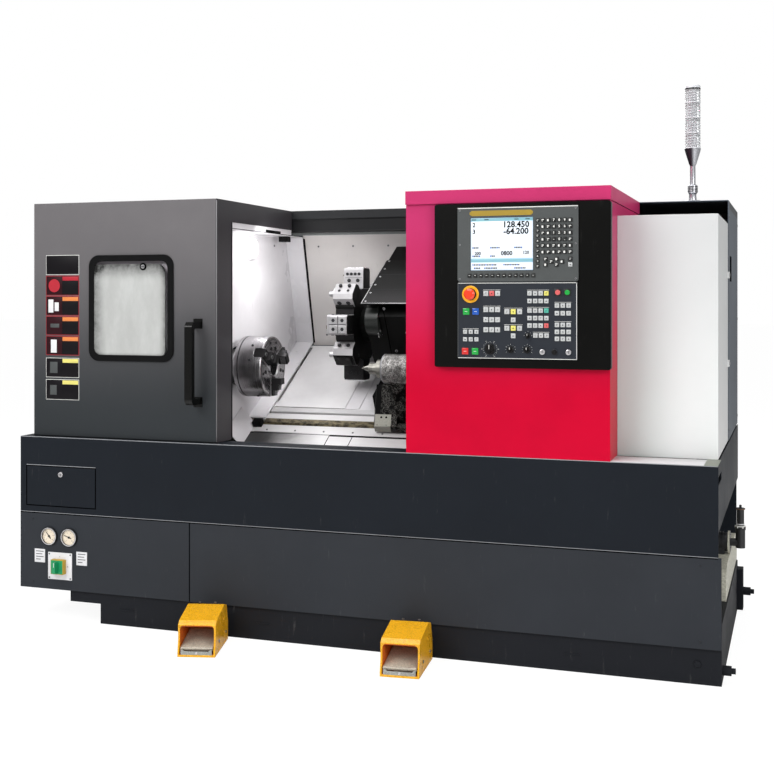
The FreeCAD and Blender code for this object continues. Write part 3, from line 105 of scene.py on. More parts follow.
class Sheet:
    """The node tree of one finish."""

    def __init__(self, name, group="materials"):
        self.owner = getattr(bpy.data, group).new(name)
        self.owner.use_nodes = True
        self.tree = self.owner.node_tree
        self.tree.nodes.clear()

    def add(self, kind, settings=None, inputs=None, out=0):
        """One node: its settings first, then its sockets' values or links."""
        made = self.tree.nodes.new(kind)
        for key, value in (settings or {}).items():
            setattr(made, key, value)
        for key, value in (inputs or {}).items():
            if isinstance(value, Wire):
                self.tree.links.new(value.socket, made.inputs[key])
            else:
                made.inputs[key].default_value = value
        return Wire(self, made.outputs[out]) if len(made.outputs) else None

    def place(self):
        """Where the shaded point lies on the object."""
        return self.add("ShaderNodeTexCoord", out="Object")

    def part(self, axis):
        """One coordinate of the place, in metres of the machine's frame."""
        return self.add("ShaderNodeSeparateXYZ", {}, {0: self.place()}, out=axis)

    def on_slope(self):
        """How far a place lies up the slope and above it, from the spindle's axis."""
        y, z = self.part("Y") + AXIS_FRONT, self.part("Z") - AXIS_HIGH
        return y * 0.866 + z * 0.5, z * 0.866 - y * 0.5

    def stretched(self, x, y, z):
        """The place with each coordinate scaled, to draw a pattern out into lines."""
        return self.add("ShaderNodeVectorMath", {"operation": "MULTIPLY"},
                        {0: self.place(), 1: (x, y, z)})

    def noise(self, scale, detail=3, rough=0.5, at=None):
        return self.add("ShaderNodeTexNoise", {},
                        {"Vector": at or self.place(), "Scale": scale, "Detail": detail,
                         "Roughness": rough})

    def blots(self, scale, low, high, detail=4, rough=0.6, at=None):
        """Noise with its middle stretched: 0 below low and 1 above high."""
        return self.noise(scale, detail, rough, at).ramp(low, high)

    def cloud(self):
        """The slow change of shade across every painted sheet."""
        return self.blots(3.2, 0.3, 0.7)

    def rubs(self, low=0.62, high=0.8, at=None):
        """Fine rubs and dust."""
        return self.blots(60, low, high, 6, 0.7, at)

    def mix(self, amount, first, second):
        """Two colours, ready sockets or plain tones, by amount."""
        first, second = (tone(value) if isinstance(value, tuple) else value
                         for value in (first, second))
        return self.add("ShaderNodeMix", {"data_type": "RGBA", "blend_type": "MIX"},
                        {0: amount, 6: first, 7: second}, out=2)

    def finish(self, base, rough, shine=0.5, bump=None, **others):
        """Closes the tree with one surface shader; bump is a height, its strength and its depth."""
        inputs = {"Base Color": base, "Roughness": rough, "Specular IOR Level": shine}
        if bump:
            inputs["Normal"] = self.add("ShaderNodeBump", {}, dict(zip(
                ("Height", "Strength", "Distance"), bump)))
        inputs.update({key.replace("_", " "): value for key, value in others.items()})
        surface = self.add("ShaderNodeBsdfPrincipled", {}, inputs)
        self.add("ShaderNodeOutputMaterial", {}, {"Surface": surface})
        return self.owner


# ---------------------------------------------------------------- kinds of finish


def paint(name, colour, roughness=0.42, coat=0, grain=0.12, dust=0.1, shine=0.3, top=None,
          low=0, high=1):
    """Sprayed sheet metal: orange peel, faint cloudy shade and fine rubs, paler towards its top; on
    the red guard that paler top is painted light.
    """
    sheet = Sheet(name)
    cloud = sheet.cloud()
    base = sheet.mix(cloud, tone(colour, 0.93), tone(colour, 1.05))
    # A second colour blended in with height; on the red guard this is painted light
    if top:
        high_tone = sheet.mix(cloud, tone(top, 0.96), tone(top, 1.03))
        base = sheet.mix(sheet.part("Z").ramp(low, high), base, high_tone)
    rubs = sheet.rubs(0.6, 0.78, sheet.stretched(1, 1, 0.16))
    base = sheet.mix(rubs * dust, base, (170, 168, 164))
    return sheet.finish(base=base, rough=roughness + rubs * 0.12 + (cloud - 0.5) * 0.06,
                        Coat_Weight=coat, Coat_Roughness=0.12, shine=shine,
                        bump=(sheet.noise(900, 2), grain, 0.0006))


def steel(name, colour, roughness=0.28, lines=(1, 60, 60), metallic=1, depth=0.12):
    """Ground or turned steel: fine lines along one way, with a slightly cloudy shine."""
    sheet = Sheet(name)
    grit = sheet.noise(30, 5, 0.65, sheet.stretched(*lines))
    cloud = sheet.blots(14, 0.25, 0.8)
    base = sheet.mix(grit, tone(colour, 0.8), tone(colour, 1.12))
    base = sheet.mix(cloud * 0.35, base, tone(colour, 0.72))
    return sheet.finish(base=base, Metallic=metallic,
                        rough=(roughness + grit * 0.14 + cloud * 0.08).clamp(),
                        bump=(grit, depth, 0.0004))


def turned_steel(name, colour, pitch=0.0012, roughness=0.18):
    """Steel turned on the spindle's own axis: rings round it, and on its outer barrel a painted
    reflection of dark surroundings, a dark band near the axis's height and a darker bottom.
    """
    sheet = Sheet(name)
    across, up = sheet.part("Y") + AXIS_FRONT, sheet.part("Z") - AXIS_HIGH
    radius = (across * across + up * up) ** 0.5
    along = sheet.part("X")
    rings = sheet.add("ShaderNodeMath", {"operation": "SINE"},
                      {0: (radius + along) * (6.2832 / pitch)})
    rows = sheet.add("ShaderNodeCombineXYZ", {},
                     {"X": along * 900, "Y": radius * 900, "Z": 0})
    grit = sheet.noise(1, 3, 0.6, rows)
    cloud = sheet.blots(18, 0.3, 0.8)
    base = sheet.mix(grit, tone(colour, 0.72), tone(colour, 1.12))
    base = sheet.mix(cloud * 0.3, base, tone(colour, 0.6))
    # Painted reflection: darkens the outer barrel in a band near the axis's height and towards its
    # bottom
    painted_dark_reflection = up + cloud * 0.012
    painted_dark_reflection = painted_dark_reflection.ramp(-0.05, -0.028) * (1 - painted_dark_reflection.ramp(0, 0.03))
    painted_dark_reflection = (painted_dark_reflection * 0.5 + (-0.088 - up).ramp(0, 0.02) * 0.8) * (radius > 0.1215)
    base = sheet.mix(painted_dark_reflection.clamp(), base, tone(colour, 0.22))
    return sheet.finish(base=base, Metallic=1, rough=(roughness + grit * 0.16).clamp(),
                        bump=(rings * 0.3 + grit, 0.1, 0.0003))


def casting(name, colour, roughness=0.55, metallic=0, lumps=160, depth=0.5, oil=0.35,
            shine=0.5):
    """Rough casting: pitted skin, darker in the pits, with oily patches."""
    sheet = Sheet(name)
    pits = sheet.noise(lumps, 6, 0.62)
    patches = sheet.blots(9, 0.42, 0.7, 5, 0.65)
    base = sheet.mix(pits.ramp(0.3, 0.7), tone(colour, 0.62), tone(colour, 1.15))
    base = sheet.mix(patches * oil, base, tone(colour, 0.35))
    return sheet.finish(base=base, Metallic=metallic,
                        rough=(roughness - patches * 0.22 + pits * 0.1).clamp(),
                        shine=shine, bump=(pits, depth, 0.0012))


def plastic(name, colour, roughness=0.4, grain=0.15, coat=0, shine=0.35):
    """Moulded plastic with a spark-eroded grain and a little handling shine."""
    sheet = Sheet(name)
    skin = sheet.noise(1400, 2)
    touch = sheet.blots(26, 0.4, 0.75)
    base = sheet.mix(touch * 0.5, colour, tone(colour, 1.15))
    return sheet.finish(base=base, rough=(roughness - touch * 0.1 + skin * 0.06).clamp(),
                        shine=shine, Coat_Weight=coat, Coat_Roughness=0.08,
                        bump=(skin, grain, 0.0003))


def rubber(name, colour, roughness=0.62):
    """Rubber with a pale bloom."""
    sheet = Sheet(name)
    skin = sheet.noise(700, 3)
    base = sheet.mix(sheet.blots(20, 0.5, 0.8, 5, 0.7) * 0.15, colour, (40, 40, 40))
    return sheet.finish(base=base, rough=roughness + skin * 0.1, shine=0.1,
                        bump=(skin, 0.2, 0.0004))


def glow(name, colour, strength, roughness=0.3):
    """A lit face with a faint unevenness."""
    sheet = Sheet(name)
    lit = sheet.mix(sheet.noise(8, 2) * 0.3, colour, tone(colour, 0.9))
    return sheet.finish(base=lit, rough=roughness, Emission_Color=lit,
                        Emission_Strength=strength)


def clear_lens(name):
    """The tower's clear lamp covers."""
    sheet = Sheet(name)
    skin = sheet.noise(120, 2)
    base = sheet.mix(skin * 0.4, (244, 246, 248), tone((244, 246, 248), 0.85))
    return sheet.finish(base=base, rough=0.18 + skin * 0.04, Transmission_Weight=0.72,
                        IOR=1.49, bump=(skin, 0.05, 0.0005))


def milky(name):
    """The door's pane: clear plastic gone milky, wiped in the middle, and dark along its rim with
    painted shade and some grime.
    """
    sheet = Sheet(name)
    streak = sheet.blots(7, 0.3, 0.75, 5, 0.7, sheet.stretched(1, 1, 0.4))
    haze = sheet.noise(34, 6, 0.72)
    x, z = sheet.part("X"), sheet.part("Z")
    # Painted shade with some grime: darker towards the pane's sides, top and foot, mottled by the
    # haze
    sides = (-1 - x).ramp(0, 0.075) * 0.75 + x.ramp(-0.765, -0.722) * 0.9
    ends = z.ramp(1.385, 1.48) * 1.1 + (1.105 - z).ramp(0, 0.03) * 0.9
    rim_shade_and_grime = (sides + ends) * (haze * 1.4 + 0.15)
    pane = sheet.mix(streak, (176, 177, 175), (196, 198, 196))
    pane = sheet.mix(rim_shade_and_grime.clamp(), pane, (16, 17, 16))
    return sheet.finish(base=pane, rough=0.14 + streak * 0.16, Coat_Weight=0.3,
                        Coat_Roughness=0.05, shine=0.3,
                        bump=(haze, 0.04, 0.001))


def housing(name):
    """The rear housing: blue-grey sides, a dark header beam and a dark band along the roof."""
    sheet = Sheet(name)
    y, z = sheet.part("Y"), sheet.part("Z")
    side = sheet.mix(sheet.cloud(), (70, 78, 88), (80, 88, 98))
    beam = sheet.mix(z > 1.678, (16, 16, 18), (33, 34, 36))
    before = y < 0.0855
    base = sheet.mix((z > 1.684) * (1 - before), side, (44, 47, 50))
    base = sheet.mix(before * (sheet.part("X") < 1.04), base, beam)
    rubs = sheet.rubs()
    return sheet.finish(base=sheet.mix(rubs * 0.06, base, (150, 152, 154)),
                        rough=0.42 + rubs * 0.12, shine=0.2,
                        bump=(sheet.noise(900, 2), 0.15, 0.0006))


def carriage(name):
    """The saddle: pale cover leaves at both ends and charcoal paint between them."""
    sheet = Sheet(name)
    x = sheet.part("X")
    leaf = ((x < -0.0505) + (x > 0.3255)).clamp() * (sheet.on_slope()[1] < -0.25)
    cloud = sheet.blots(6, 0.35, 0.7)
    pale = sheet.mix(cloud, (196, 194, 196), (216, 214, 217))
    dark = sheet.mix(cloud, (8, 8, 8), (16, 15, 16))
    return sheet.finish(base=sheet.mix(leaf, dark, pale), rough=0.36 + cloud * 0.08,
                        shine=0.08,
                        bump=(sheet.noise(700, 2), 0.12, 0.0005))


def side_white(name):
    """The pale box at the right: greyer where the red guard shades it."""
    sheet = Sheet(name)
    x, y, z = sheet.part("X"), sheet.part("Y"), sheet.part("Z")
    front = sheet.mix(x.ramp(1.02, 1.3) * (y < -0.5), (200, 216, 212), (226, 229, 228))
    end = sheet.mix((y < -0.57), (220, 220, 220), front)
    end = sheet.mix(z.ramp(0.8, 1.6), end, (206, 208, 208))
    rubs = sheet.rubs()
    base = sheet.mix(sheet.cloud() * 0.06, end, (170, 172, 172))
    return sheet.finish(base=sheet.mix(rubs * 0.08, base, (150, 150, 148)),
                        rough=0.36 + rubs * 0.1, shine=0.3,
                        bump=(sheet.noise(900, 2), 0.1, 0.0006))


def door_paint(name, foot, head):
    """The sliding door: painted light from above, dark at its foot and paler at its roof, and
    painted shade on its darker folded end.
    """
    sheet = Sheet(name)
    # Painted light: the colour runs from the foot colour to the paler roof colour with height
    rise = sheet.mix(sheet.part("Z").ramp(0.8, 1.66), foot, head)
    # Painted shade on the folded end at the door's right
    base = sheet.mix(sheet.part("X") > -0.5125, rise, (52, 50, 53))
    base = sheet.mix(sheet.cloud() * 0.12, base, tone(foot, 0.7))
    rubs = sheet.rubs(at=sheet.stretched(1, 1, 0.16))
    return sheet.finish(base=sheet.mix(rubs * 0.05, base, (150, 150, 150)),
                        rough=0.38 + rubs * 0.1, shine=0.25,
                        bump=(sheet.noise(900, 2), 0.12, 0.0006))


def apron(name):
    """The sheets along the front way: pale, with a dark film at the chuck's end, oil with a painted
    reflection of the dark chuck.
    """
    sheet = Sheet(name)
    drift = sheet.noise(14, 5, 0.65)
    # The dark film: oil, and a painted reflection of the dark chuck, fading out along x
    film = ((1 - (sheet.part("X") + drift * 0.12).ramp(-0.44, -0.14))
            * (sheet.on_slope()[0] < -0.105))
    base = sheet.mix(sheet.cloud(), (204, 202, 203), (220, 219, 220))
    base = sheet.mix((film * 0.96).clamp(), base, (34, 34, 36))
    return sheet.finish(base=base, rough=0.24 + drift * 0.2, shine=0.4,
                        bump=(drift, 0.05, 0.001))


def slide_paint(name):
    """The cross slide: a charcoal cover on top, a grey barrel and a black oily body."""
    sheet = Sheet(name)
    up, rise = sheet.on_slope()
    pits = sheet.noise(220, 5, 0.62)
    cover = sheet.mix(up.ramp(0.18, 0.34), (30, 29, 30), (8, 8, 8))
    cover = sheet.mix(sheet.blots(5, 0.3, 0.75) * 0.3, cover, (24, 23, 24))
    black = sheet.mix(pits.ramp(0.5, 0.75), (2, 2, 2), (12, 12, 11))
    barrel = sheet.mix(pits, (12, 13, 12), (20, 22, 20))
    base = sheet.mix(sheet.part("X") < -0.06, black, barrel)
    base = sheet.mix(rise > 0.1985, base, cover)
    return sheet.finish(base=base, rough=(0.36 + pits * 0.14).clamp(),
                        shine=0.14, bump=(pits, 0.25, 0.0008))


def funnel(name):
    """The signal tower's polished foot: the dark roof's reflection is painted on its left half."""
    sheet = Sheet(name)
    shade = (1.252 - sheet.part("X")).ramp(-0.004, 0.012) * (sheet.part("Z") > 1.862)
    base = sheet.mix(shade, (196, 197, 202), (52, 52, 58))
    return sheet.finish(base=base, Metallic=0.85, rough=0.26 + shade * 0.2)


def ways(name):
    """The hardened ways: oily and brown at the front one, pale like the covers behind it."""
    sheet = Sheet(name)
    up = sheet.on_slope()[0]
    grit = sheet.noise(30, 5, 0.65, sheet.stretched(60, 1, 1))
    oil = sheet.blots(70, 0.42, 0.6, 5, 0.7, sheet.stretched(0.5, 1, 1))
    front = sheet.mix(grit, (88, 78, 54), (156, 146, 118))
    front = sheet.mix(oil * 0.9, front, (30, 26, 18))
    back = sheet.mix(grit, (176, 176, 176), (206, 204, 206))
    return sheet.finish(base=sheet.mix(up > 0, front, back),
                        Metallic=(up < 0) * 0.6, rough=0.3 + grit * 0.15,
                        bump=(grit, 0.12, 0.0004))


def tail_paint(name):
    """The tailstock: a mottled oily barrel on a near-black casting with a ground sole."""
    sheet = Sheet(name)
    up, rise = sheet.on_slope()
    x = sheet.part("X")
    barrel = ((up * up + rise * rise) ** 0.5) < 0.0615
    sole = (rise < -0.19) * (x < 0.079)
    pits = sheet.noise(240, 6, 0.66)
    metal = sheet.mix(pits.ramp(0.35, 0.65), (70, 68, 66), (186, 184, 182))
    metal = sheet.mix(sheet.blots(34, 0.4, 0.62, 5, 0.7) * 0.7, metal, (40, 38, 36))
    black = sheet.mix(pits.ramp(0.5, 0.72), (2, 2, 2), (16, 15, 14))
    mottle = pits.ramp(0.44, 0.6) * sheet.blots(26, 0.4, 0.55) * (x > 0.03)
    black = sheet.mix(mottle * 0.8, black, (112, 110, 106))
    ground = sheet.mix(pits, (112, 111, 104), (170, 169, 160))
    base = sheet.mix(barrel, sheet.mix(sole, black, ground), metal)
    return sheet.finish(base=base, Metallic=(barrel + sole).clamp() * 0.6,
                        rough=(0.34 + pits * 0.2).clamp(), shine=0.05,
                        bump=(pits, 0.7, 0.0012))


# One row a finish: its short name, its full name, its colour, then what each comment names
PAINTS = (
    # roughness, coat, grain, dust, shine, the top's colour, from what height and up to which
    ("lining", "lining paint", (216, 214, 217), 0.3, 0.25, 0.06, 0.45),
    ("back", "back wall paint", (203, 199, 197), 0.34, 0.1, 0.06, 0.5),
    ("base", "base paint", (21, 26, 33), 0.5, 0, 0.3, 0.1, 0.15),
    ("lower", "lower cover paint", (46, 49, 54), 0.5, 0, 0.3, 0.1, 0.15),
    ("plinth", "plinth paint", (26, 28, 33), 0.55, 0, 0.3, 0.12, 0.15),
    ("white", "pale cover paint", (214, 214, 216), 0.34, 0.2, 0.12, 0.1, 0.3, (206, 196, 206),
     1.1, 1.6),
    ("rear", "rear housing paint", (84, 94, 106), 0.45),
    ("beam", "beam paint", (34, 36, 38), 0.42, 0, 0.12, 0.1, 0.2),
    ("frame", "panel frame paint", (8, 8, 7), 0.4, 0, 0.2, 0.03, 0.1),
    # A painted highlight, for pale strips along bright edges and seams
    ("rim light", "worn edge", (150, 152, 156), 0.4),
    ("sage", "sill paint", (128, 134, 122), 0.45),
)
PLASTICS = (
    # roughness, grain, coat, shine
    ("bezel", "bezel plastic", (76, 79, 79), 0.42, 0.25, 0, 0.25),
    ("board", "board film", (38, 42, 49), 0.4, 0.12, 0, 0.25),
    ("black", "black plastic", (12, 12, 13), 0.34, 0.12, 0.05, 0.25),
    ("handle", "handle coat", (5, 5, 4), 0.2, 0.03, 0, 0.3),
    ("key", "pale key", (186, 188, 188), 0.38, 0.1),
    ("key dark", "dark key", (30, 31, 31), 0.4, 0.2),
    ("gap", "open seam", (1, 1, 1), 0.6, 0, 0, 0),
    ("gold", "gold field", (158, 132, 46), 0.36, 0.04, 0.1),
    ("mark", "pale print", (226, 226, 222), 0.5, 0.05),
    ("ink", "dark print", (30, 30, 34), 0.5, 0.05),
    ("red", "red cap", (206, 40, 36), 0.26, 0.05, 0.4),
    ("green", "green cap", (28, 158, 62), 0.26, 0.05, 0.4),
    ("blue", "blue cap", (28, 84, 176), 0.26, 0.05, 0.4),
    ("yellow", "yellow cap", (222, 214, 110), 0.32, 0.05, 0.2),
    ("teal", "teal cap", (80, 176, 156), 0.32, 0.05, 0.2),
    ("rose", "rose cap", (212, 96, 96), 0.32, 0.05, 0.2),
    ("collar", "stop collar", (244, 176, 30), 0.32, 0.05, 0.3),
    ("stop", "stop cap", (240, 62, 28), 0.24, 0.04, 0.6),
    ("sticker", "dark label", (15, 12, 16), 0.4, 0.04, 0, 0.15),
    ("sticker red", "red label", (176, 44, 56), 0.36, 0.04, 0, 0.2),
    ("sticker orange", "orange label", (222, 132, 74), 0.36, 0.04, 0, 0.2),
    ("sticker yellow", "yellow label", (224, 214, 120), 0.36, 0.04, 0, 0.2),
    ("sticker brown", "brown label", (44, 10, 18), 0.4, 0.04, 0, 0.15),
    ("label", "pale label", (224, 224, 226), 0.45, 0.05),
    ("dial", "dial card", (236, 222, 200), 0.2, 0.02, 0.5),
    ("switch", "switch face", (26, 146, 92), 0.36, 0.08, 0.2),
    ("olive", "switch case", (186, 152, 44), 0.4, 0.1, 0.2),
    ("clear rim", "clear rim", (206, 208, 212), 0.2, 0.02, 0.5),
    ("core", "lamp core", (150, 150, 158), 0.35, 0.02),
)
STEELS = (
    # roughness, how fine the lines are along x, y and z, metallic, their depth
    ("steel", "ground steel", (196, 194, 196)),
    ("bright", "bright steel", (216, 214, 216), 0.18),
    ("centre", "centre steel", (138, 136, 130), 0.26),
    ("dull", "dull steel", (150, 150, 152), 0.42),
    ("brass", "dull brass", (112, 100, 74), 0.36, (60, 1, 1)),
    ("jaw", "blackened steel", (54, 53, 54), 0.34, (60, 1, 60), 1, 0.2),
    ("block", "block steel", (178, 176, 178), 0.4, (40, 40, 1), 0.7, 0.3),
)
CASTINGS = (
    # roughness, metallic, how small the lumps are, their depth, oil, shine
    ("iron", "painted iron", (104, 104, 104), 0.45, 0),
    ("dark iron", "dark casting", (9, 9, 9), 0.44, 0, 200, 0.3, 0.2, 0.2),
    ("barrel", "grey barrel", (28, 31, 29), 0.36, 0, 200, 0.3, 0.2, 0.3),
    ("bed", "bed casting paint", (206, 204, 188), 0.5, 0, 120, 0.5, 0.25),
    ("motor", "motor paint", (34, 35, 38), 0.4, 0, 220, 0.3, 0.1),
    ("pump brown", "splash plate", (120, 92, 72), 0.5, 0.3, 90, 0.4, 0.3),
    ("pedal", "pedal enamel", (248, 182, 26), 0.3, 0, 240, 0.35, 0.06),
    # Painted shade: the hoods' insides, their yellow enamel darkened to orange
    ("pedal inside", "pedal inside", (232, 112, 22), 0.5, 0, 240, 0.4, 0.4),
    ("lip", "grey lip", (176, 178, 172), 0.42, 0.5, 300, 0.4, 0.3),
    ("tread", "tread alloy", (214, 206, 190), 0.44, 0.25, 300, 0.5, 0.3),
)
RUBBERS = (("rubber", "black rubber", (11, 11, 12)), ("belt", "belt", (24, 24, 25)))
GLOWS = (
    # strength
    ("lamp", "lamp face", (1, 1, 0.97, 1), 3),
    ("screen", "screen field", (170, 198, 226), 0.45),
    ("screen white", "screen page", (206, 214, 222), 0.45),
    ("screen band", "screen band", (120, 166, 178), 0.4),
)
OTHERS = (
    ("pane", milky, "milky pane"), ("clear", clear_lens, "clear lens"),
    ("housing", housing, "rear housing"), ("carriage", carriage, "carriage paint"),
    ("box white", side_white, "side box paint"), ("apron", apron, "floor sheet"),
    ("slide", slide_paint, "cross slide paint"), ("funnel", funnel, "tower foot"),
    ("ways", ways, "oiled ways"), ("tail", tail_paint, "tailstock casting"),
)


def mix_finishes(tones):
    """Every finish that the machine uses, by its short name."""
    for kind, rows in ((paint, PAINTS), (plastic, PLASTICS), (steel, STEELS), (casting, CASTINGS),
                       (rubber, RUBBERS), (glow, GLOWS)):
        for key, *settings in rows:
            FINISH[key] = kind(*settings)
    for key, kind, name in OTHERS:
        FINISH[key] = kind(name)
    FINISH["chuck"] = turned_steel("chuck steel", (178, 176, 178))
    guard, guard_top, door, door_top = (
        (*chosen, 1) for chosen in (tones.guard_foot, tones.guard_head, tones.door_foot,
                                      tones.door_head))
    # The door's foot and roof colours give it painted light from above
    FINISH["door"] = door_paint("door paint", door, door_top)
    # The guard blends to its paler cap colour from 0.95 to 1.66 metres up: painted light
    FINISH["guard"] = paint("guard paint", guard, 0.34, 0, 0.06, 0, 0.1, guard_top, 0.95, 1.66)


# ---------------------------------------------------------------- mesh tools


def grid(*ways):
    """Every spot of a lattice; a way that doesn't vary is one number."""
    return product(*([way] if isinstance(way, (int, float)) else way for way in ways))


def circle(centre, axis, radius, angles):
    """Spots on a circle square to axis, at angles in degrees."""
    return [Vector(centre) + AXES[axis] @ Vector((radius * math.cos(math.radians(angle)),
                                                  radius * math.sin(math.radians(angle)), 0))
            for angle in angles]


def posed(spot, turn, axis):
    """A place, turned by so many degrees."""
    return Matrix.Translation(spot) @ Matrix.Rotation(math.radians(turn), 4, axis)


def hoop(low, high, inner, outer):
    """The profile of a plain ring."""
    return [(low, inner), (low, outer), (high, outer), (high, inner)]


class Form:
    """A mesh in the making, in millimetres of the machine's frame."""

    def __init__(self, at=HERE):
        self.bm = bmesh.new()
        self.at = at
        self.finishes = []

    def dress(self, verts, finish):
        """Gives the faces of new points their finish and puts them in place."""
        if finish not in self.finishes:
            self.finishes.append(finish)
        index = self.finishes.index(finish)
        for face in {face for vert in verts for face in vert.link_faces}:
            face.material_index = index
        bmesh.ops.transform(self.bm, matrix=self.at, verts=verts)

    def box(self, finish, edge, *rows):
        """Blocks of one finish, each from a low to a high corner, with their edges rounded."""
        for row in rows:
            before = set(self.bm.verts)
            verts = bmesh.ops.create_cube(self.bm, size=1)["verts"]
            for vert in verts:
                vert.co = Vector([a + (b - a) * (c + 0.5)
                                  for a, b, c in zip(row[:3], row[3:], vert.co)])
            if edge:
                edges = list({link for vert in verts for link in vert.link_edges})
                bmesh.ops.bevel(self.bm, geom=edges, offset=edge, segments=2, profile=0.5,
                                affect="EDGES")
                verts = [vert for vert in self.bm.verts if vert not in before]
            self.dress(verts, finish)

    def prism(self, outline, axis, start, length, finish):
        """A flat outline in the plane square to axis, pushed along it."""
        turn = AXES[axis]
        rings = [[self.bm.verts.new(turn @ Vector((a, b, along))) for a, b in outline]
                 for along in (start, start + length)]
        for ring in rings:
            self.bm.faces.new(ring)
        for i in range(len(outline)):
            j = (i + 1) % len(outline)
            self.bm.faces.new((rings[0][i], rings[0][j], rings[1][j], rings[1][i]))
        self.dress(rings[0] + rings[1], finish)

    def turned(self, centre, axis, profile, finish, sides=40):
        """A profile of (along, radius) turned round a line; a closed profile makes a ring."""
        rings = []
        closed = profile[0] == profile[-1]
        for along, radius in profile[1:] if closed else profile:
            count = sides if radius > 1e-6 else 1
            rings.append([])
            for i in range(count):
                angle = 2 * math.pi * i / sides
                spot = Vector((radius * math.cos(angle), radius * math.sin(angle), along))
                rings[-1].append(self.bm.verts.new(Vector(centre) + AXES[axis] @ spot))
        for first, second in zip(rings, rings[1:] + rings[:1] if closed else rings[1:]):
            for i in range(sides):
                j = (i + 1) % sides
                corners = list(dict.fromkeys(
                    (first[i % len(first)], first[j % len(first)],
                     second[j % len(second)], second[i % len(second)])))
                if len(corners) > 2:
                    self.bm.faces.new(corners)
        for ring in (rings[0], rings[-1]):
            if len(ring) > 1 and not closed:
                self.bm.faces.new(ring)
        self.dress([vert for ring in rings for vert in ring], finish)

    def screws(self, finish, spots, axis, radius, rise, inside="ink"):
        """Socket-head cap screws, which stand out by rise along axis."""
        for spot in spots:
            self.turned(spot, axis, [(0, radius), (rise * 0.85, radius), (rise, radius * 0.88),
                                     (rise, radius * 0.56)], finish, 20)
            top = Vector(spot) + AXES[axis] @ Vector((0, 0, rise))
            self.turned(top, axis, [(math.copysign(0.02, rise), radius * 0.56),
                                    (-rise * 0.5, radius * 0.5), (-rise * 0.5, 0)], inside, 6)

    def label(self, text, centre, size, finish, depth=0.3, heavy=0):
        """Plain figures on a front face, read from the front, centred."""
        curve = bpy.data.curves.new("figures", "FONT")
        for key, value in (("body", text), ("size", size), ("extrude", depth / 2),
                           ("offset", heavy * size), ("resolution_u", 2), ("align_x", "CENTER"),
                           ("align_y", "CENTER")):
            setattr(curve, key, value)
        holder = bpy.data.objects.new("figures", curve)
        mesh = bpy.data.meshes.new_from_object(holder)
        before = set(self.bm.verts)
        self.bm.from_mesh(mesh)
        verts = [vert for vert in self.bm.verts if vert not in before]
        bmesh.ops.transform(self.bm, matrix=posed(centre, 90, "X"), verts=verts)
        bpy.data.objects.remove(holder)
        bpy.data.curves.remove(curve)
        bpy.data.meshes.remove(mesh)
        self.dress(verts, finish)

    def ticks(self, finish, spot, sweep, count, every, long, short, half):
        """A dial's marks, swept to both sides of its top; each spans two radii."""
        home = self.at
        for step in range(count):
            low, high = short if step % every else long
            self.at = home @ posed(spot, sweep * (2 * step / (count - 1) - 1), "Y")
            self.box(finish, 0, (-half, -0.25, low, half, 0, high))
        self.at = home

    def done(self, name, body="base", bevel=0, replaces=()):
        """Makes the object, rides it on its body and takes the place of the solids named."""
        bmesh.ops.scale(self.bm, vec=(MM, MM, MM), verts=self.bm.verts)
        bmesh.ops.recalc_face_normals(self.bm, faces=self.bm.faces)
        mesh = bpy.data.meshes.new(name)
        self.bm.to_mesh(mesh)
        self.bm.free()
        for finish in self.finishes:
            mesh.materials.append(FINISH[finish])
        mesh.shade_smooth()
        mesh.set_sharp_from_angle(angle=SHARP)
        made = bpy.data.objects.new(name, mesh)
        bpy.context.scene.collection.objects.link(made)
        if bevel:
            soften(made, bevel)
        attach(made, body)
        if replaces:
            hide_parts(*replaces)


def soften(thing, width):
    """Rounds the sharp edges a little, so that they catch the light."""
    rounder = thing.modifiers.new("edges", "BEVEL")
    rounder.width = width * MM
    rounder.segments = 2
    rounder.limit_method = "ANGLE"
    rounder.angle_limit = math.radians(38)
    rounder.harden_normals = True
    flat = thing.modifiers.new("flat faces", "WEIGHTED_NORMAL")
    flat.weight = 80
    flat.keep_sharp = True


def dress(finish, edge, *nodes):
    """A finish and softened edges for some of the machine's own solids."""
    for node in nodes:
        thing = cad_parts[node]
        mesh = thing.data
        mesh.normals_split_custom_set([(0, 0, 0)] * len(mesh.loops))
        mesh.shade_smooth()
        if not thing.material_slots:
            mesh.materials.append(None)
        for holder in thing.material_slots:
            holder.material = FINISH[finish]
        joiner = thing.modifiers.new("joined", "WELD")
        joiner.merge_threshold = 0.00001
        soften(thing, edge)


# ---------------------------------------------------------------- sizes and colours


class LatheTones(bpy.types.PropertyGroup):
    """The colours that a user would change."""
    # The guard's two colours blend with height as painted light: crimson at the foot, paler pink at
    # the cap
    guard_foot: bpy.props.FloatVectorProperty(
        name="Guard, low", description="The red guard's colour near its foot",
        subtype="COLOR", size=3, min=0, max=1, default=tone((196, 0, 44))[:3])
    guard_head: bpy.props.FloatVectorProperty(
        name="Guard, high", description="The red guard's colour near its cap",
        subtype="COLOR", size=3, min=0, max=1, default=tone((190, 52, 104))[:3])
    # The door's two colours blend with height as painted light from above: dark at the foot, paler
    # at the roof
    door_foot: bpy.props.FloatVectorProperty(
        name="Door, low", description="The sliding door's colour near its foot",
        subtype="COLOR", size=3, min=0, max=1, default=tone((44, 48, 51))[:3])
    door_head: bpy.props.FloatVectorProperty(
        name="Door, high", description="The sliding door's colour near its roof",
        subtype="COLOR", size=3, min=0, max=1, default=tone((108, 105, 107))[:3])


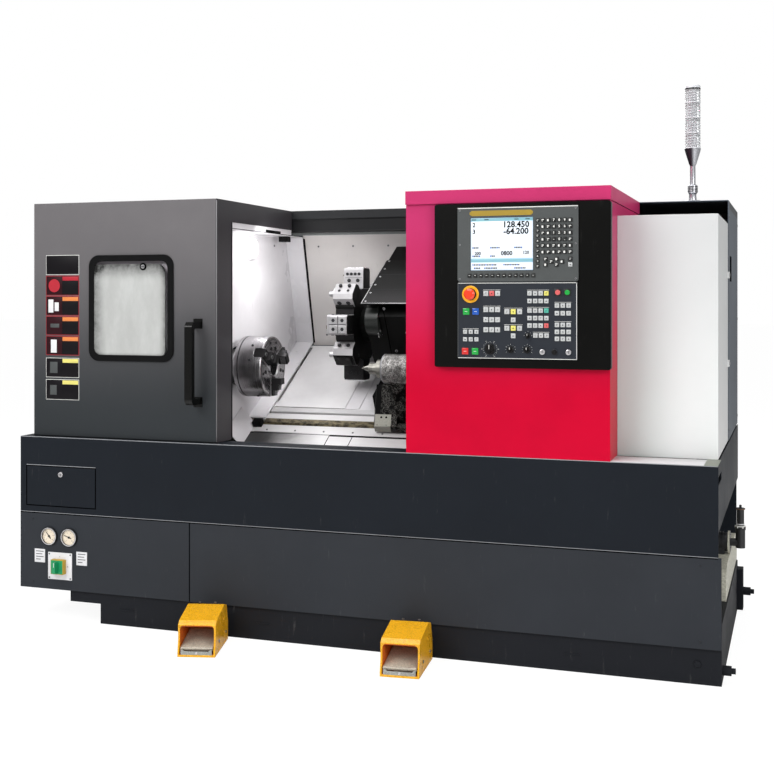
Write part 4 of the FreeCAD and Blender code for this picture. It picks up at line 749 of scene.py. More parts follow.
class LatheSizes(bpy.types.PropertyGroup):
    """The small sizes that a user would change."""
    edge: bpy.props.FloatProperty(
        name="Sheet edge", description="How far the sheet metal's edges are rounded",
        unit="LENGTH", min=0.0002, max=0.003, default=0.0012)
    key_edge: bpy.props.FloatProperty(
        name="Key edge", description="How far the panel keys' edges are rounded",
        unit="LENGTH", min=0.0003, max=0.003, default=0.0012)
    floor_half: bpy.props.FloatProperty(
        name="Floor reach", description="How far the floor reaches from the machine",
        unit="LENGTH", min=5, max=100, default=60)


# ---------------------------------------------------------------- pieces


class Finishes(bpy.types.Operator):
    """Makes every finish of the machine"""
    bl_idname = "lathe.finishes"
    bl_label = "Finishes"

    def execute(self, context):
        mix_finishes(context.scene.lathe_tones)
        return {"FINISHED"}


class Base(bpy.types.Operator):
    """Dresses the base, its covers, its hatch and the coolant tank"""
    bl_idname = "lathe.base"
    bl_label = "Base"

    def execute(self, context):
        edge = context.scene.lathe_sizes.edge / MM
        dress("base", edge, "upper_front_cover", "base_side_covers")
        dress("lower", edge, "lower_front_covers")
        dress("base", 1, "hatch_door")
        dress("plinth", 1, "coolant_tank")
        dress("bed", 1, "bed_casting")
        dress("dull", 1, "levelling_feet", "motor_pulley")
        dress("bright", 1, "hatch_lock")
        dress("motor", 1, "drive_motors")
        dress("belt", 1, "drive_belt")
        dress("iron", 1, "headstock")
        trim = Form(BASE)
        # Painted highlight: a pale strip along the top of the seam between the upper and lower
        # covers
        trim.box("rim light", 0, (-1399, -0.3, 438.2, 1399, 5, 440))
        trim.box("gap", 0, (-1399, -0.15, 433.6, 1399, 5, 438), (-614.6, -0.2, 126, -610.2, 4, 434))
        # Painted highlight along the base's top front edge
        trim.box("rim light", 0.3, (-1399, -0.2, 747.8, 1399, 4, 750.2))
        trim.box("gap", 0, *((x, -0.2, 466, x + 4.4, 2.6, 632) for x in (-1371.6, -1042.8)),
                 *((-1371, -0.2, z, -1039, 2.6, z + 4) for z in (464, 627.8)))
        # Painted highlight along the hatch's top edge
        trim.box("rim light", 0, (-1370, -0.4, 632, -1040, 1.4, 634.2))
        trim.box("white", 0.4, (1031, 2, 750, 1352, 150, 751.5))
        trim.box("sage", 0.3, (1352, 1, 750, 1399, 170, 751.2))
        for x in (-1305, -1105):
            trim.box("label", 0.2, (x - 25, -0.7, 232, x + 25, 0, 287))
            trim.box("bezel", 0, *((x - 18, -0.9, z, x - 18 + width, -0.7, z + 3)
                                   for z, width in ((276, 36), (265, 30), (254, 36), (243, 22))))
        trim.at = HERE
        for z in (500, 620, 740):
            trim.screws("dull", ((1391, -702 + z * 0.1, z), (1391, 600, z)), "X", 5, 3)
        trim.screws("dull", grid(range(-1300, 1301, 260), 723, (270, 730)), "Y", 6, 3)
        trim.screws("lower", grid((-1340, 1340), -750, (150, 410)), "Y", 5, -2.2)
        trim.done("base_trim")
        hinge = Form(BASE)
        for x in (-1330, -1205, -1080):
            hinge.turned((x, 1, 467.2), "X", hoop(-18, 18, 0, 1.2), "base", 12)
        hinge.done("hatch_hinge_pins")
        lock = Form(BASE)
        lock.box("ink", 0, (-1213.2, -4.3, 595.6, -1198.8, -3.2, 598.4))
        lock.turned((-1206, -4.1, 597), "Y", [(0, 5.6), (-0.3, 5.4), (-0.3, 4.6), (0, 4.4),
                                             (0, 5.6)], "ink", 32)
        lock.done("hatch_lock_slot", "hatch_turn")
        tank = Form(BASE)
        tank.box("plinth", 0.6, *((x - 30, 9.5, 60, x + 30, 12, 66) for x in range(-900, 901, 600)))
        tank.turned((1330, 9, 70), "Y", [(3, 14), (0, 14), (-3, 11), (-3, 0)], "plinth", 6)
        tank.done("tank_fittings")
        return {"FINISHED"}


class Gauges(bpy.types.Operator):
    """Builds the two gauges' faces and the main switch"""
    bl_idname = "lathe.gauges"
    bl_label = "Gauges and main switch"

    def execute(self, context):
        dress("black", 0.6, "pressure_gauges")
        faces = Form(BASE)
        for x, needle in ((-1258, -40), (-1163, -70)):
            faces.turned((x, -3, 343), "Y", [(0, 31.3), (-0.5, 31.3), (-0.5, 0)], "dial", 48)
            faces.ticks("ink", (x, -3.5, 343), 135, 41, 4, (23.5, 29), (26, 29), 0.35)
            for step, spot in enumerate(circle((x, -3.6, 343), "Y", 19, range(225, -46, -54))):
                faces.label(str(2 * step), spot, 6.5, "ink", 0.15)
            faces.turned((x, -9.2, 343), "Y", [(1.5, 34.6), (0, 35.5), (-0.3, 34), (-0.3, 32),
                                              (1.5, 31.6), (1.5, 34.6)], "bright", 48)
            faces.at = BASE @ posed((x, -3.5, 343), needle, "Y")
            faces.prism([(-1.6, -13), (1.6, -13), (0.7, 24), (-0.7, 24)], "Y", -2.2, 0.8, "ink")
            faces.turned((0, -0.6, 0), "Y", [(0, 4.4), (-2, 4.4), (-2.6, 3), (-2.6, 0)], "ink", 20)
            faces.at = BASE
        faces.done("gauge_faces")
        case = Form(BASE)
        case.box("label", 1.2, (-1264, -3, 167, -1150, 0, 278))
        case.box("olive", 2, (-1237, -25, 192.5, -1177, -3, 252.5))
        case.box("switch", 0.1, (-1234.5, -25.28, 195, -1179.5, -24, 250))
        case.screws("dull", grid((-1257, -1157), -3, (174, 271)), "Y", 3.4, -1.6)
        case.label("I", (-1207, -3.2, 261), 9, "ink")
        case.label("O", (-1170, -3.2, 222), 9, "ink")
        case.done("main_switch_case", "base", 0, ("main_switch_box",))
        dress("switch", 1.2, "main_switch_handle")
        pointer = Form(BASE)
        pointer.box("mark", 0.2, (-1208.2, -47.3, 226, -1205.8, -46.5, 244))
        pointer.done("main_switch_mark", "switch")
        return {"FINISHED"}


class Door(bpy.types.Operator):
    """Dresses the sliding door and adds its labels, seal and screws"""
    bl_idname = "lathe.door"
    bl_label = "Sliding door"

    def execute(self, context):
        dress("door", context.scene.lathe_sizes.edge / MM * 1.3, "main_door")
        dress("handle", 2, "door_handle")
        dress("rubber", 2.2, "window_gasket")
        dress("pane", 0.6, "door_window")
        labels = Form(DOOR)
        for low, high, rim, left, head in (
                (1418, 1499, "mark", None, None),
                (1333, 1414, "sticker red", "sticker brown", "sticker red"),
                (1250, 1330, "sticker red", "sticker brown", "sticker orange"),
                (1169, 1247, "sticker red", "sticker brown", "sticker orange"),
                (1086, 1165, "sticker red", "sticker brown", "sticker orange"),
                (994, 1075, "mark", "sticker", "sticker yellow"),
                (902, 986, "mark", "sticker", "sticker yellow")):
            labels.box(rim, 0.15, (-1296, -0.5, low, -1137, 0, high))
            labels.box("sticker", 0.15, (-1294.2, -0.8, low + 1.8, -1138.8, -0.4, high - 1.8))
            if head:
                labels.box(left, 0.1, (-1293, -1, low + 3, -1218, -0.7, high - 3))
                labels.box(head, 0.1, (-1216, -1.1, high - 20, -1141, -0.7, high - 4))
        labels.turned((-1256, -1, 1373), "Y", [(0.2, 27), (-0.3, 27), (-0.3, 0)], "sticker red")
        for pale, x, z, right, top in ((True, -1284, 1262, -1260, 1316),
                                       (True, -1254, 1268, -1234, 1304),
                                       (False, -1274, 1200, -1232, 1216),
                                       (True, -1272, 1096, -1244, 1150),
                                       (False, -1276, 1012, -1240, 1058),
                                       (False, -1276, 922, -1244, 962)):
            labels.box("label" if pale else "bezel", 0.1, (x, -1.3, z, right, -0.9, top))
        labels.done("door_labels", "door")
        seal = Form(DOOR)
        seal.box("rubber", 1, (-511.6, 128, 752, -507.2, 137, 1628))
        seal.box("rubber", 0.6, (-1353, -2.2, 750.6, -510, 1, 754))
        seal.turned((-834.8, -5, 1448.4), "Y", [(0, 15), (-1.6, 15), (-2.4, 13), (-2.4, 0)],
                    "gap", 32)
        seal.turned((-834.8, -7.6, 1448.4), "Y", [(0, 9), (-2, 8.4), (-2, 0)], "dull", 24)
        seal.box("gap", 0, (-841, -9.9, 1447.2, -828.6, -9.4, 1449.6))
        # A pale steel strip down the door's front edge: a painted highlight on that edge
        seal.box("dull", 0.4, (-510.4, -0.4, 756, -507.8, 1.8, 1708))
        seal.done("door_seals", "door")
        rollers = Form(DOOR)
        for x in (-1290, -930, -570):
            rollers.turned((x, 3.4, 1700), "Y", [(0, 9), (4, 9), (6, 6), (6, 0)], "dull", 24)
        rollers.done("door_rollers", "door")
        return {"FINISHED"}


class Enclosure(bpy.types.Operator):
    """Dresses the fixed guards and adds their seams, screws, vents and latches"""
    bl_idname = "lathe.enclosure"
    bl_label = "Fixed guards"

    def execute(self, context):
        edge = context.scene.lathe_sizes.edge / MM * 1.3
        dress("guard", edge, "red_cabinet", "cabinet_cap")
        dress("box white", edge, "side_box")
        dress("housing", edge, "rear_cover")
        dress("white", edge, "headstock_cover")
        trim = Form()
        trim.box("bezel", 0, *((1388, -568, z - 0.8, 1388.5, 20, z + 0.8) for z in (772, 1598)),
                 (1388, -568, 772, 1388.5, -566.4, 1598))
        for z in (1063, 1413):
            trim.box("dull", 1, (1396.5, -36, z - 7, 1399, -12, z + 7))
            trim.turned((1397, -24, z), "X", [(0, 5), (2.8, 5), (2.8, 0)], "bright", 20)
        trim.screws("box white", grid((1060, 1370), -580, (800, 1100, 1400, 1580)), "Y", 3, -1.4,
                    "box white")
        trim.done("side_box_trim")
        rear = Form()
        for left, right in ((-1340, -460), (-440, 440), (460, 1340)):
            rear.box("rear", 1, (left, 749.5, 800, right, 752, 1660))
            rear.screws("dull", grid((left + 18, right - 18), 752, (820, 1230, 1640)), "Y", 6, 3)
            rear.box("beam", 1.2, *((left + 120, 751, z, right - 120, 755, z + 5)
                                    for z in range(1500, 1600, 12)))
            rear.box("black", 2, (left + 30, 752, 1200, left + 52, 762, 1260))
        for spot in grid((-1250, 1100), (140, 660), 1715):
            rear.turned(spot, "Z", [(0, 20), (6, 20), (9, 12), (9, 0)], "dull", 24)
        rear.done("rear_panels")
        sides = Form()
        sides.box("beam", 1.2, *((-1394, 180, z, -1390, 620, z + 5)
                                 for z in range(1440, 1560, 13)))
        sides.box("gap", 0, (1380, 100, 1380, 1383, 172, 1504),
                  (1390.4, 158, 1390, 1391.2, 232, 1494))
        for side in (-1, 1):
            sides.screws("dull", grid(1391 * side, (60, 700), (790, 1230, 1650)), "X", 6, 3 * side)
        sides.done("side_vents")
        panel = Form()
        panel.box("white", 0.8, (-1240, -694, 830, -660, -692, 1560))
        panel.screws("dull", grid((-1225, -950, -675), -694, (845, 1195, 1545)), "Y", 6, -3)
        panel.box("black", 2, (-990, -699, 1180, -910, -694, 1230))
        panel.done("headstock_panel")
        return {"FINISHED"}


class Chamber(bpy.types.Operator):
    """Lines the work space: partition, back wall, lamp, way covers and rails"""
    bl_idname = "lathe.chamber"
    bl_label = "Work space"

    def execute(self, context):
        for node, finish in (("chamber_left_wall", "lining"), ("chamber_back_wall", "back"),
                             ("way_covers", "apron"), ("way_cover_middle", "lining"),
                             ("guide_rails", "ways"), ("long_screw", "steel"),
                             ("saddle", "carriage")):
            dress(finish, 0.8, node)
        seams = Form(Matrix.Translation((0, 284.2, 1112))
                     @ Matrix.Rotation(math.atan2(131, 504), 4, "X"))
        seams.box("rubber", 0, (-513.6, -1.5, 0, -505, 0.5, 500))
        seams.at = SLOPED
        seams.box("rubber", 0, (-513.6, 120, -262.6, -505, 560, -261))
        seams.box("apron", 0, (-600, -215, -264.2, -533.5, -52, -262.6))
        seams.prism([(-552, -262.6), (-550, -262.6), (-594.5, -178), (-596.5, -178)], "Y", -215,
                    165, "lining")
        seams.box("rubber", 1.5, (-552, -76, -262.6, -512, -44, -236))
        seams.box("rubber", 0, (-550, -115, -263, -186, -112, -260.6),
                  (-186, -122, -263, 560, -111, -260.6), (-188, -215, -262, -184.5, -118, -260.7),
                  (-85, -215, -262, -81.5, -118, -260.7))
        seams.box("ways", 0.8, (-513, -54.5, -262, 560, -51.5, -255))
        seams.screws("dull", grid(range(-480, 560, 130), (-236, -92), -261), "Z", 4.5, 2.2)
        seams.at = HERE
        seams.screws("dull", [*grid(-597, range(-640, 21, 220), 1560),
                              *grid(-597, -660, (820, 1000, 1180, 1400))], "X", 5, 2.4)
        seams.box("bezel", 0.6, (-512, 31, 1604, 284, 33, 1616))
        # A pale strip under the door's hood, with a thin black line at its foot that is painted
        # shadow
        seams.box("lining", 0, (-516, -690, 1604, -514, 24, 1629))
        seams.box("gap", 0, (-514.2, -690, 1603.6, -513.4, 24, 1606))
        seams.box("rubber", 0.6, (-515, -250, 1606, -512.8, -96, 1617))
        seams.box("rubber", 2, (-564, -6, 1576, -520, 30, 1608))
        seams.box("rubber", 1, (-596, -20, 1610, -540, 6, 1616))
        seams.done("chamber_seams")
        wall = Form()
        for z in (1150, 1560):
            wall.screws("dull", grid(range(-440, 1000, 170), 285 - (z - 1100) * 131 / 517, z), "Y",
                        5, -2.2)
        wall.done("back_wall_screws")
        lamp = Form()
        lamp.turned((-597, -237, 1537), "X", [(0, 52), (12, 52), (20, 46), (22, 44), (22, 42),
                                             (17, 41), (17, 0)], "lining", 48)
        lamp.turned((-580, -237, 1537), "X", [(0, 40.5), (3, 40.5), (4.6, 0)], "lamp", 48)
        lamp.screws("bright", circle((-577.5, -237, 1537), "X", 46, range(45, 360, 90)), "X", 2.6,
                    1.6)
        lamp.done("round_lamp", "base", 0, ("work_light",))
        return {"FINISHED"}


class Chuck(bpy.types.Operator):
    """Dresses the spindle, its chuck and jaws"""
    bl_idname = "lathe.chuck"
    bl_label = "Chuck"

    def execute(self, context):
        dress("steel", 0.8, "spindle")
        dress("chuck", 1.4, "chuck_body")
        dress("jaw", 1, "chuck_jaw_1", "chuck_jaw_2", "chuck_jaw_3")
        face = Form(Matrix.Translation(SPINDLE))
        face.turned((0, 0, 0), "X", hoop(-536, -532, 127.1, 127.6), "ink", 72)
        face.turned((0, 0, 0), "X", [(-427.2, 39), (-424, 39.4), (-422, 40.6), (-422, 42),
                                     (-427.2, 42.4), (-427.2, 39)], "bright", 64)
        face.turned((0, 0, 0), "X", [(-427.1, 111.6), (-426.6, 112), (-426.6, 113.4),
                                     (-427.1, 113.8), (-427.1, 111.6)], "ink", 72)
        for radius, size in ((78, 8), (102, 6)):
            angles = [90 + 120 * number + side for number in range(3) for side in (-16, 16)]
            face.screws("jaw", circle((-427, 0, 0), "X", radius, angles), "X", size, 2)
        face.done("chuck_face", "spindle")
        slots = Form()
        places = [posed(SPINDLE, turn, "X") for turn in (60, 180, 300)]
        for place in places:
            slots.at = place
            for side in (-1, 1):
                middle = 24.5 * side
                slots.box("bright", 0.2, (-427.3, middle - 3.5, 30, -426.2, middle + 3.5, 124))
                slots.turned((-480, side * 34, 121), "Z", [(0, 0), (0, 5), (3.9, 5)], "ink", 20)
        slots.done("chuck_slots", "spindle")
        for number, place in enumerate(places, start=1):
            jaw = Form(place)
            jaw.screws("dull", ((-399, 0, 86), (-417, 0, 110)), "X", 8.5, 2.4)
            for z in (76, 80.4, 84.8, 89.2, 93.6):
                jaw.box("ink", 0, (-415, -20.3, z, -400, -19.8, z + 1.4),
                        (-415, 19.8, z, -400, 20.3, z + 1.4))
            for step in range(7):
                x = -413 + 3.6 * step
                jaw.box("dull", 0.2, (x, -17, 47.2, x + 1.4, 17, 48.2))
            jaw.done(f"jaw_bolts_{number}", f"jaw_{number}")
        return {"FINISHED"}


class Turret(bpy.types.Operator):
    """Dresses the cross slide, the indexing disc and its tool blocks"""
    bl_idname = "lathe.turret"
    bl_label = "Turret"

    def execute(self, context):
        dress("slide", 1.5, "cross_slide")
        dress("jaw", 1.2, "turret_disc")
        flat = 165 * math.cos(math.radians(22.5))
        blocks = Form()
        for number in range(8):
            blocks.at = (SLOPED @ posed((-210, 350, 0), 45 * number + 15, "X")
                         @ Matrix.Translation((0, 0, flat)))
            build = tall_block if number % 2 else wide_block
            # Blocks 2 and 3 hang low at the front and are made dark, for their black tools and as
            # painted shade
            build(blocks, number in (2, 3))
        blocks.done("tool_blocks", "turret", 0.9, ("tool_holders",))
        hub = Form(SLOPED @ posed((-205, 350, 0), 15, "X"))
        hub.turned((0, 0, 0), "X", [(-12.2, 0), (-14, 26), (-12.2, 30)], "bright")
        hub.screws("jaw", circle((0, 0, 0), "X", 100, range(0, 360, 45)), "X", 7, -5)
        for spot in circle((0, 0, 0), "X", 140, [45 * turn + 22.5 for turn in range(8)]):
            hub.turned(spot, "X", [(0, 0), (-0.4, 9), (0.2, 9)], "ink", 20)
        hub.screws("jaw", circle((-12, 0, 0), "X", 38, range(15, 360, 60)), "X", 4.5, -3)
        hub.done("turret_bolts", "turret")
        slide = Form(SLOPED)
        slide.turned((-124, 350, 0), "X", [(56, 75.2), (58, 79), (66, 79), (68, 75.2)], "dull", 64)
        slide.turned((0, 238, 88), "X", [(-57, 0), (-57, 62), (-55, 66), (-8, 66), (-7, 68.5),
                                         (2, 68.5), (4, 66), (4, 0)], "barrel", 64)
        slide.screws("dull", circle((4, 238, 88), "X", 60, (-160, -130)), "X", 5, 3)
        slide.box("bright", 0.6, (-3, 168.4, 44, 1, 171, 66))
        slide.screws("dull", ((40, 183, 176), (150, 183, 176), (60, 183, -30), (240, 183, 120),
                              (120, 183, 60)), "Y", 6, -3)
        slide.box("gap", 0, (34, 181.5, -150, 37, 184, 190))
        slide.box("bright", 0.5, (-56.5, 181, 200, 266, 184, 202.5))
        slide.box("bright", 0.3, (-57.4, 180, 199, -55.5, 560, 201))
        slide.screws("bright", grid(-42, range(200, 560, 70), 200), "Z", 4.5, 2.2)
        slide.box("ink", 0, *((-56, u, 200, 266, u + 1.6, 200.5) for u in (300, 430)))
        slide.screws("jaw", grid(-55, (215, 470), (-150, 60)), "X", 9, -8)
        slide.box("bright", 1, (-62, 250, -120, -55, 330, -90))
        slide.done("slide_cover_trim", "slide")
        return {"FINISHED"}


def tall_block(form, dark):
    """A turning tool's block: clamp plates outside, screws along its face, a shank in front."""
    # On a dark block the body is blackened steel: black tooling, and painted shade
    form.prism([(-42, 0), (42, 0), (42, 80), (34, 90), (-36, 90), (-42, 80)], "X", 0, 88,
               "jaw" if dark else "block")
    form.prism([(-40, 2), (40, 2), (40, 79), (33, 88), (-35, 88), (-40, 79)], "X", 88, 1.4,
               "dark iron")
    for x, y, _ in grid((12, 52), (-34, 3), 0):
        form.box("bright", 1.2, (x, y, 89, x + 34, y + 31, 93))
        form.turned((x + 17, y + 15.5, 93), "Z", [(0.1, 8.5), (0.1, 8), (-3, 7), (-3, 0)], "ink", 6)
    form.box("ink", 0, (48, -36, 88.5, 50, 36, 90.4), (8, -1.6, 88.5, 86, 1.6, 90.4))
    form.box("jaw", 0.8, (-9, -20, 52, 30, 14, 66))
    form.prism([(-16, 56), (-4, 56), (-2, 62), (-18, 62)], "X", -14, 8, "brass")
    form.screws("jaw", grid((16, 34, 52, 70), -42, 64), "Y", 6.5, -3)
    form.screws("jaw", grid((16, 34, 52, 70), 42, 60), "Y", 6.5, 3)
    form.screws("jaw", grid((24, 64), -42, 36), "Y", 8, -4)
    form.screws("jaw", grid((24, 64), 42, 24), "Y", 8, 4)
    form.box("ink", 0, (6, -42.6, 47, 82, -41.8, 48.4), (6, 41.8, 42, 82, 42.6, 43.4))
    form.screws("jaw", ((0, -22, 20), (0, 24, 20)), "X", 7, -4)


def wide_block(form, dark):
    """A boring tool's block: round bore with its sleeve and clamp screws on its faces."""
    form.prism([(-48, 0), (48, 0), (48, 40), (30, 62), (-30, 62), (-48, 48)], "X", 0, 88, "block")
    form.prism([(-46, 2), (46, 2), (46, 39), (29, 60), (-29, 60), (-46, 46)], "X", 88, 1.4,
               "dark iron")
    form.prism([(-60, -4), (-48, 0), (-48, 14), (-56, 12)], "X", 4, 80, "dark iron")
    # A dark iron skin and top plate: black tooling, and painted shade on the low block
    if dark:
        form.prism([(-48.6, 0), (-48.6, 48.3), (-30, 62.6), (30, 62.6), (30, 62), (-30, 62),
                    (-48, 48), (-48, 0)], "X", -0.6, 89, "dark iron")
        form.box("dark iron", 2, (10, -24, 62, 78, 22, 70))
    form.turned((0, 0, 30), "X", [(0, 27), (-6, 27), (-8, 25), (-8, 17), (2, 16), (2, 0)], "bright")
    form.turned((0, 0, 30), "X", [(0, 12), (-30, 12), (-32, 10), (-32, 0)], "steel", 32)
    for along in (24, 64):
        form.screws("jaw", [(along, 14, 62)], "Z", 7.5, 9)
        form.screws("jaw", [(along, -12, 62)], "Z", 6, 3)
        form.turned((along, -48, 24), "Y", [(-0.4, 10.5), (-0.4, 9), (4, 8.4), (4, 0)], "ink", 24)
        form.screws("jaw", [(along, 48, 22)], "Y", 8, 5)


class Tailstock(bpy.types.Operator):
    """Dresses the tailstock, its quill and its revolving centre"""
    bl_idname = "lathe.tailstock"
    bl_label = "Tailstock"

    def execute(self, context):
        dress("tail", 2, "tailstock")
        dress("centre", 0.8, "quill")
        dress("centre", 0.6, "live_centre")
        rings = Form(Matrix.Translation(SPINDLE))
        rings.turned((0, 0, 0), "X", [(69.5, 38.2), (64, 42), (64, 54), (70, 60.4), (74, 60.4)],
                     "dull", 56)
        rings.screws("jaw", circle((64, 0, 0), "X", 48, range(30, 360, 60)), "X", 4, -2.5)
        rings.done("tailstock_ring", "tailstock")
        point = Form(Matrix.Translation(SPINDLE))
        for x in (9, 14, 19):
            point.turned((x, 0, 0), "X", [(0, 23.4), (0.4, 23.8), (1.2, 23.8), (1.6, 23.4)], "jaw")
        point.done("centre_rings", "centre")
        body = Form(SLOPED)
        body.box("dull", 1, (74, -88, -250, 360, -84, -228))
        body.screws("jaw", ((100, -90, -238), (330, -90, -238)), "Y", 8, -5)
        body.screws("jaw", ((20, -75, -226), (60, -75, -226)), "Z", 7, 4)
        body.at = HERE
        for x in (36, 58):
            body.turned((x, -316.2, 832), "Y", [(0, 4.5), (3, 4.5)], "gap", 16)
        body.at = SLOPED
        body.prism([(-84, -226), (-60, -226), (40, -112), (30, -98)], "X", 6, 1.8, "dark iron")
        body.done("tailstock_fittings", "tailstock")
        return {"FINISHED"}


class Tower(bpy.types.Operator):
    """Builds the signal tower: foot, ball joint, pole, funnel and clear ribbed lamps"""
    bl_idname = "lathe.tower"
    bl_label = "Signal tower"

    def execute(self, context):
        stand, lamps = Form(), Form()
        stand.at = lamps.at = Matrix.Translation((1245, 100, 0))
        stand.turned((0, 0, 0), "Z", [(1715, 34), (1719, 34), (1722, 30), (1723, 16), (1746, 14.5),
                                      (1752, 17), (1754, 20), (1782, 20), (1786, 16), (1788, 11.5),
                                      (1864, 11), (1872, 15), (1908, 26), (1924, 31), (1934, 33)],
                     "funnel", 56)
        for z in (1758, 1764, 1770, 1776):
            stand.turned((0, 0, z), "Z", [(0, 20.1), (0.8, 20.7), (2.2, 20.7), (3, 20.1)], "black",
                         48)
        stand.screws("bright", circle((0, 0, 1719), "Z", 26, (0, 120, 240)), "Z", 3.4, 2.4)
        stand.done("tower_stand", "base", 0, ("signal_tower",))
        for low in range(1934, 2121, 62):
            starts = [5 + 10.8 * rib for rib in range(5)]
            ribs = [(start + along, radius) for start in starts
                    for along, radius in ((0.6, 29.2), (3, 30.8), (7.8, 30.8), (10.2, 29.2))]
            lamps.turned((0, 0, low), "Z", [(5, 8), *ribs, (59, 8)], "clear", 56)
            lamps.turned((0, 0, low), "Z", [(0, 24), (0, 30.6), (1, 31.4), (4, 31.4), (5, 30.6),
                                            (5, 24)], "clear rim", 56)
            for start in starts:
                lamps.turned((0, 0, low + start + 2.4), "Z", [(0, 12), (1, 13.4), (5, 13.4),
                                                              (6, 12)], "core", 32)
        lamps.turned((0, 0, 2181), "Z", [(0, 28), (0, 31.2), (8, 31.2), (12, 29.5), (15, 20),
                                         (15, 0)], "clear rim", 56)
        lamps.turned((0, 0, 0), "Z", hoop(2177, 2182, 26, 31.6), "black", 56)
        lamps.done("tower_lamps")
        return {"FINISHED"}


class Pump(bpy.types.Operator):
    """Dresses the coolant pump and its riser at the right end"""
    bl_idname = "lathe.pump"
    bl_label = "Coolant pump"

    def execute(self, context):
        dress("motor", 1, "coolant_pump")
        fins = Form(Matrix.Translation((0, -120, 374)))
        for x in range(1280, 1377, 12):
            fins.turned((x, 0, 0), "X", hoop(0, 4, 36, 39), "motor", 48)
        fins.turned((0, 0, 0), "X", [(1397, 36.5), (1397, 42.6), (1404.5, 42.6), (1404.5, 16)],
                    "bed", 48)
        fins.screws("dull", circle((1404.5, 0, 0), "X", 35, range(45, 360, 90)), "X", 4, 3)
        fins.done("pump_fins")
        riser = Form(Matrix.Translation((1443, -120, 374)))
        riser.turned((0, 0, 0), "Z", hoop(58, 66, 20, 21.4), "mark", 6)
        riser.turned((0, 0, 0), "Z", hoop(70, 74, 14.3, 15.4), "white", 32)
        riser.turned((0, 0, 0), "Z", hoop(129, 133, 17.2, 18), "pump brown", 32)
        riser.done("riser_rings")
        return {"FINISHED"}


class Pedals(bpy.types.Operator):
    """Dresses the two foot switches: ribs, bolts and inner faces"""
    bl_idname = "lathe.pedals"
    bl_label = "Foot switches"

    def execute(self, context):
        dress("pedal", 4, "pedal_hoods")
        dress("tread", 1.6, "pedal_treadle_1", "pedal_treadle_2")
        inner, outer = Form(), Form()
        for number, x, y, turn in ((1, -509, -1028, 15.5), (2, 273, -1000, 6)):
            inner.at = outer.at = posed((x, y, 0), turn, "Z")
            for side in (6, 133.2):
                # Orange sheets inside each hood: painted shade on the yellow enamel
                inner.prism([(6, 8), (174, 8), (174, 95), (146, 134), (6, 110)], "X", side, 0.8,
                            "pedal inside")
            inner.prism([(172.6, 8.2), (174.4, 8.2), (174.4, 94), (172.6, 94)], "X", 7, 126,
                        "pedal inside")
            inner.prism([(8, 107), (146, 131), (146, 133), (8, 109.5)], "X", 8, 124,
                        "pedal inside")
            inner.box("pedal inside", 0, (6.4, -10, 7.9, 133.6, 172, 8.5))
            for side, way in ((0, -1), (140, 1)):
                outer.screws("dull", ((side, 60, 40), (side, 190, 40)), "X", 6, 3 * way)
                outer.screws("pedal", [(side, 150, 100)], "X", 5, 2.4 * way)
            outer.screws("dull", ((40, 190, 151), (100, 190, 151)), "Z", 5, 2.4)
            outer.turned((70, 235, 34), "Y", [(0, 14), (14, 14), (18, 11), (18, 0)], "black", 32)
            outer.prism([(12, 8), (128, 8), (128, 28), (122, 28), (114, 21), (26, 21), (18, 28),
                         (12, 28)], "Y", -11.6, 2.4, "lip")
            outer.prism([(12, 8.2), (128, 8.2), (128, 9.6), (12, 9.6)], "Y", -9.2, 7, "lip")
            outer.turned((70, -11.6, 14), "Y", [(0, 5), (-0.8, 4.4), (-0.8, 0)], "bright", 16)
            for corner, way in ((6, 1), (134, -1)):
                turns = [math.radians(15 * step) for step in range(7)]
                arc = [(corner + way * 16 * (1 - math.sin(turn)), 113 - 16 * (1 - math.cos(turn)))
                       for turn in turns]
                outer.prism([(corner, 113), *arc], "Y", 0.4, 14, "pedal")
            tread = Form(inner.at @ posed((70, -2, 30.5), math.degrees(math.atan2(28, 150)), "X"))
            tread.box("tread", 0.8, *((-55, 10 + 8.4 * row, 2, 55, 13.4 + 8.4 * row, 4.6)
                                      for row in range(17)))
            tread.box("tread", 1.5, (-59, -5, -2, 59, 2, 5.5))
            tread.done(f"tread_ribs_{number}", f"treadle_{number}")
        inner.done("pedal_inner_faces")
        outer.done("pedal_bolts")
        return {"FINISHED"}


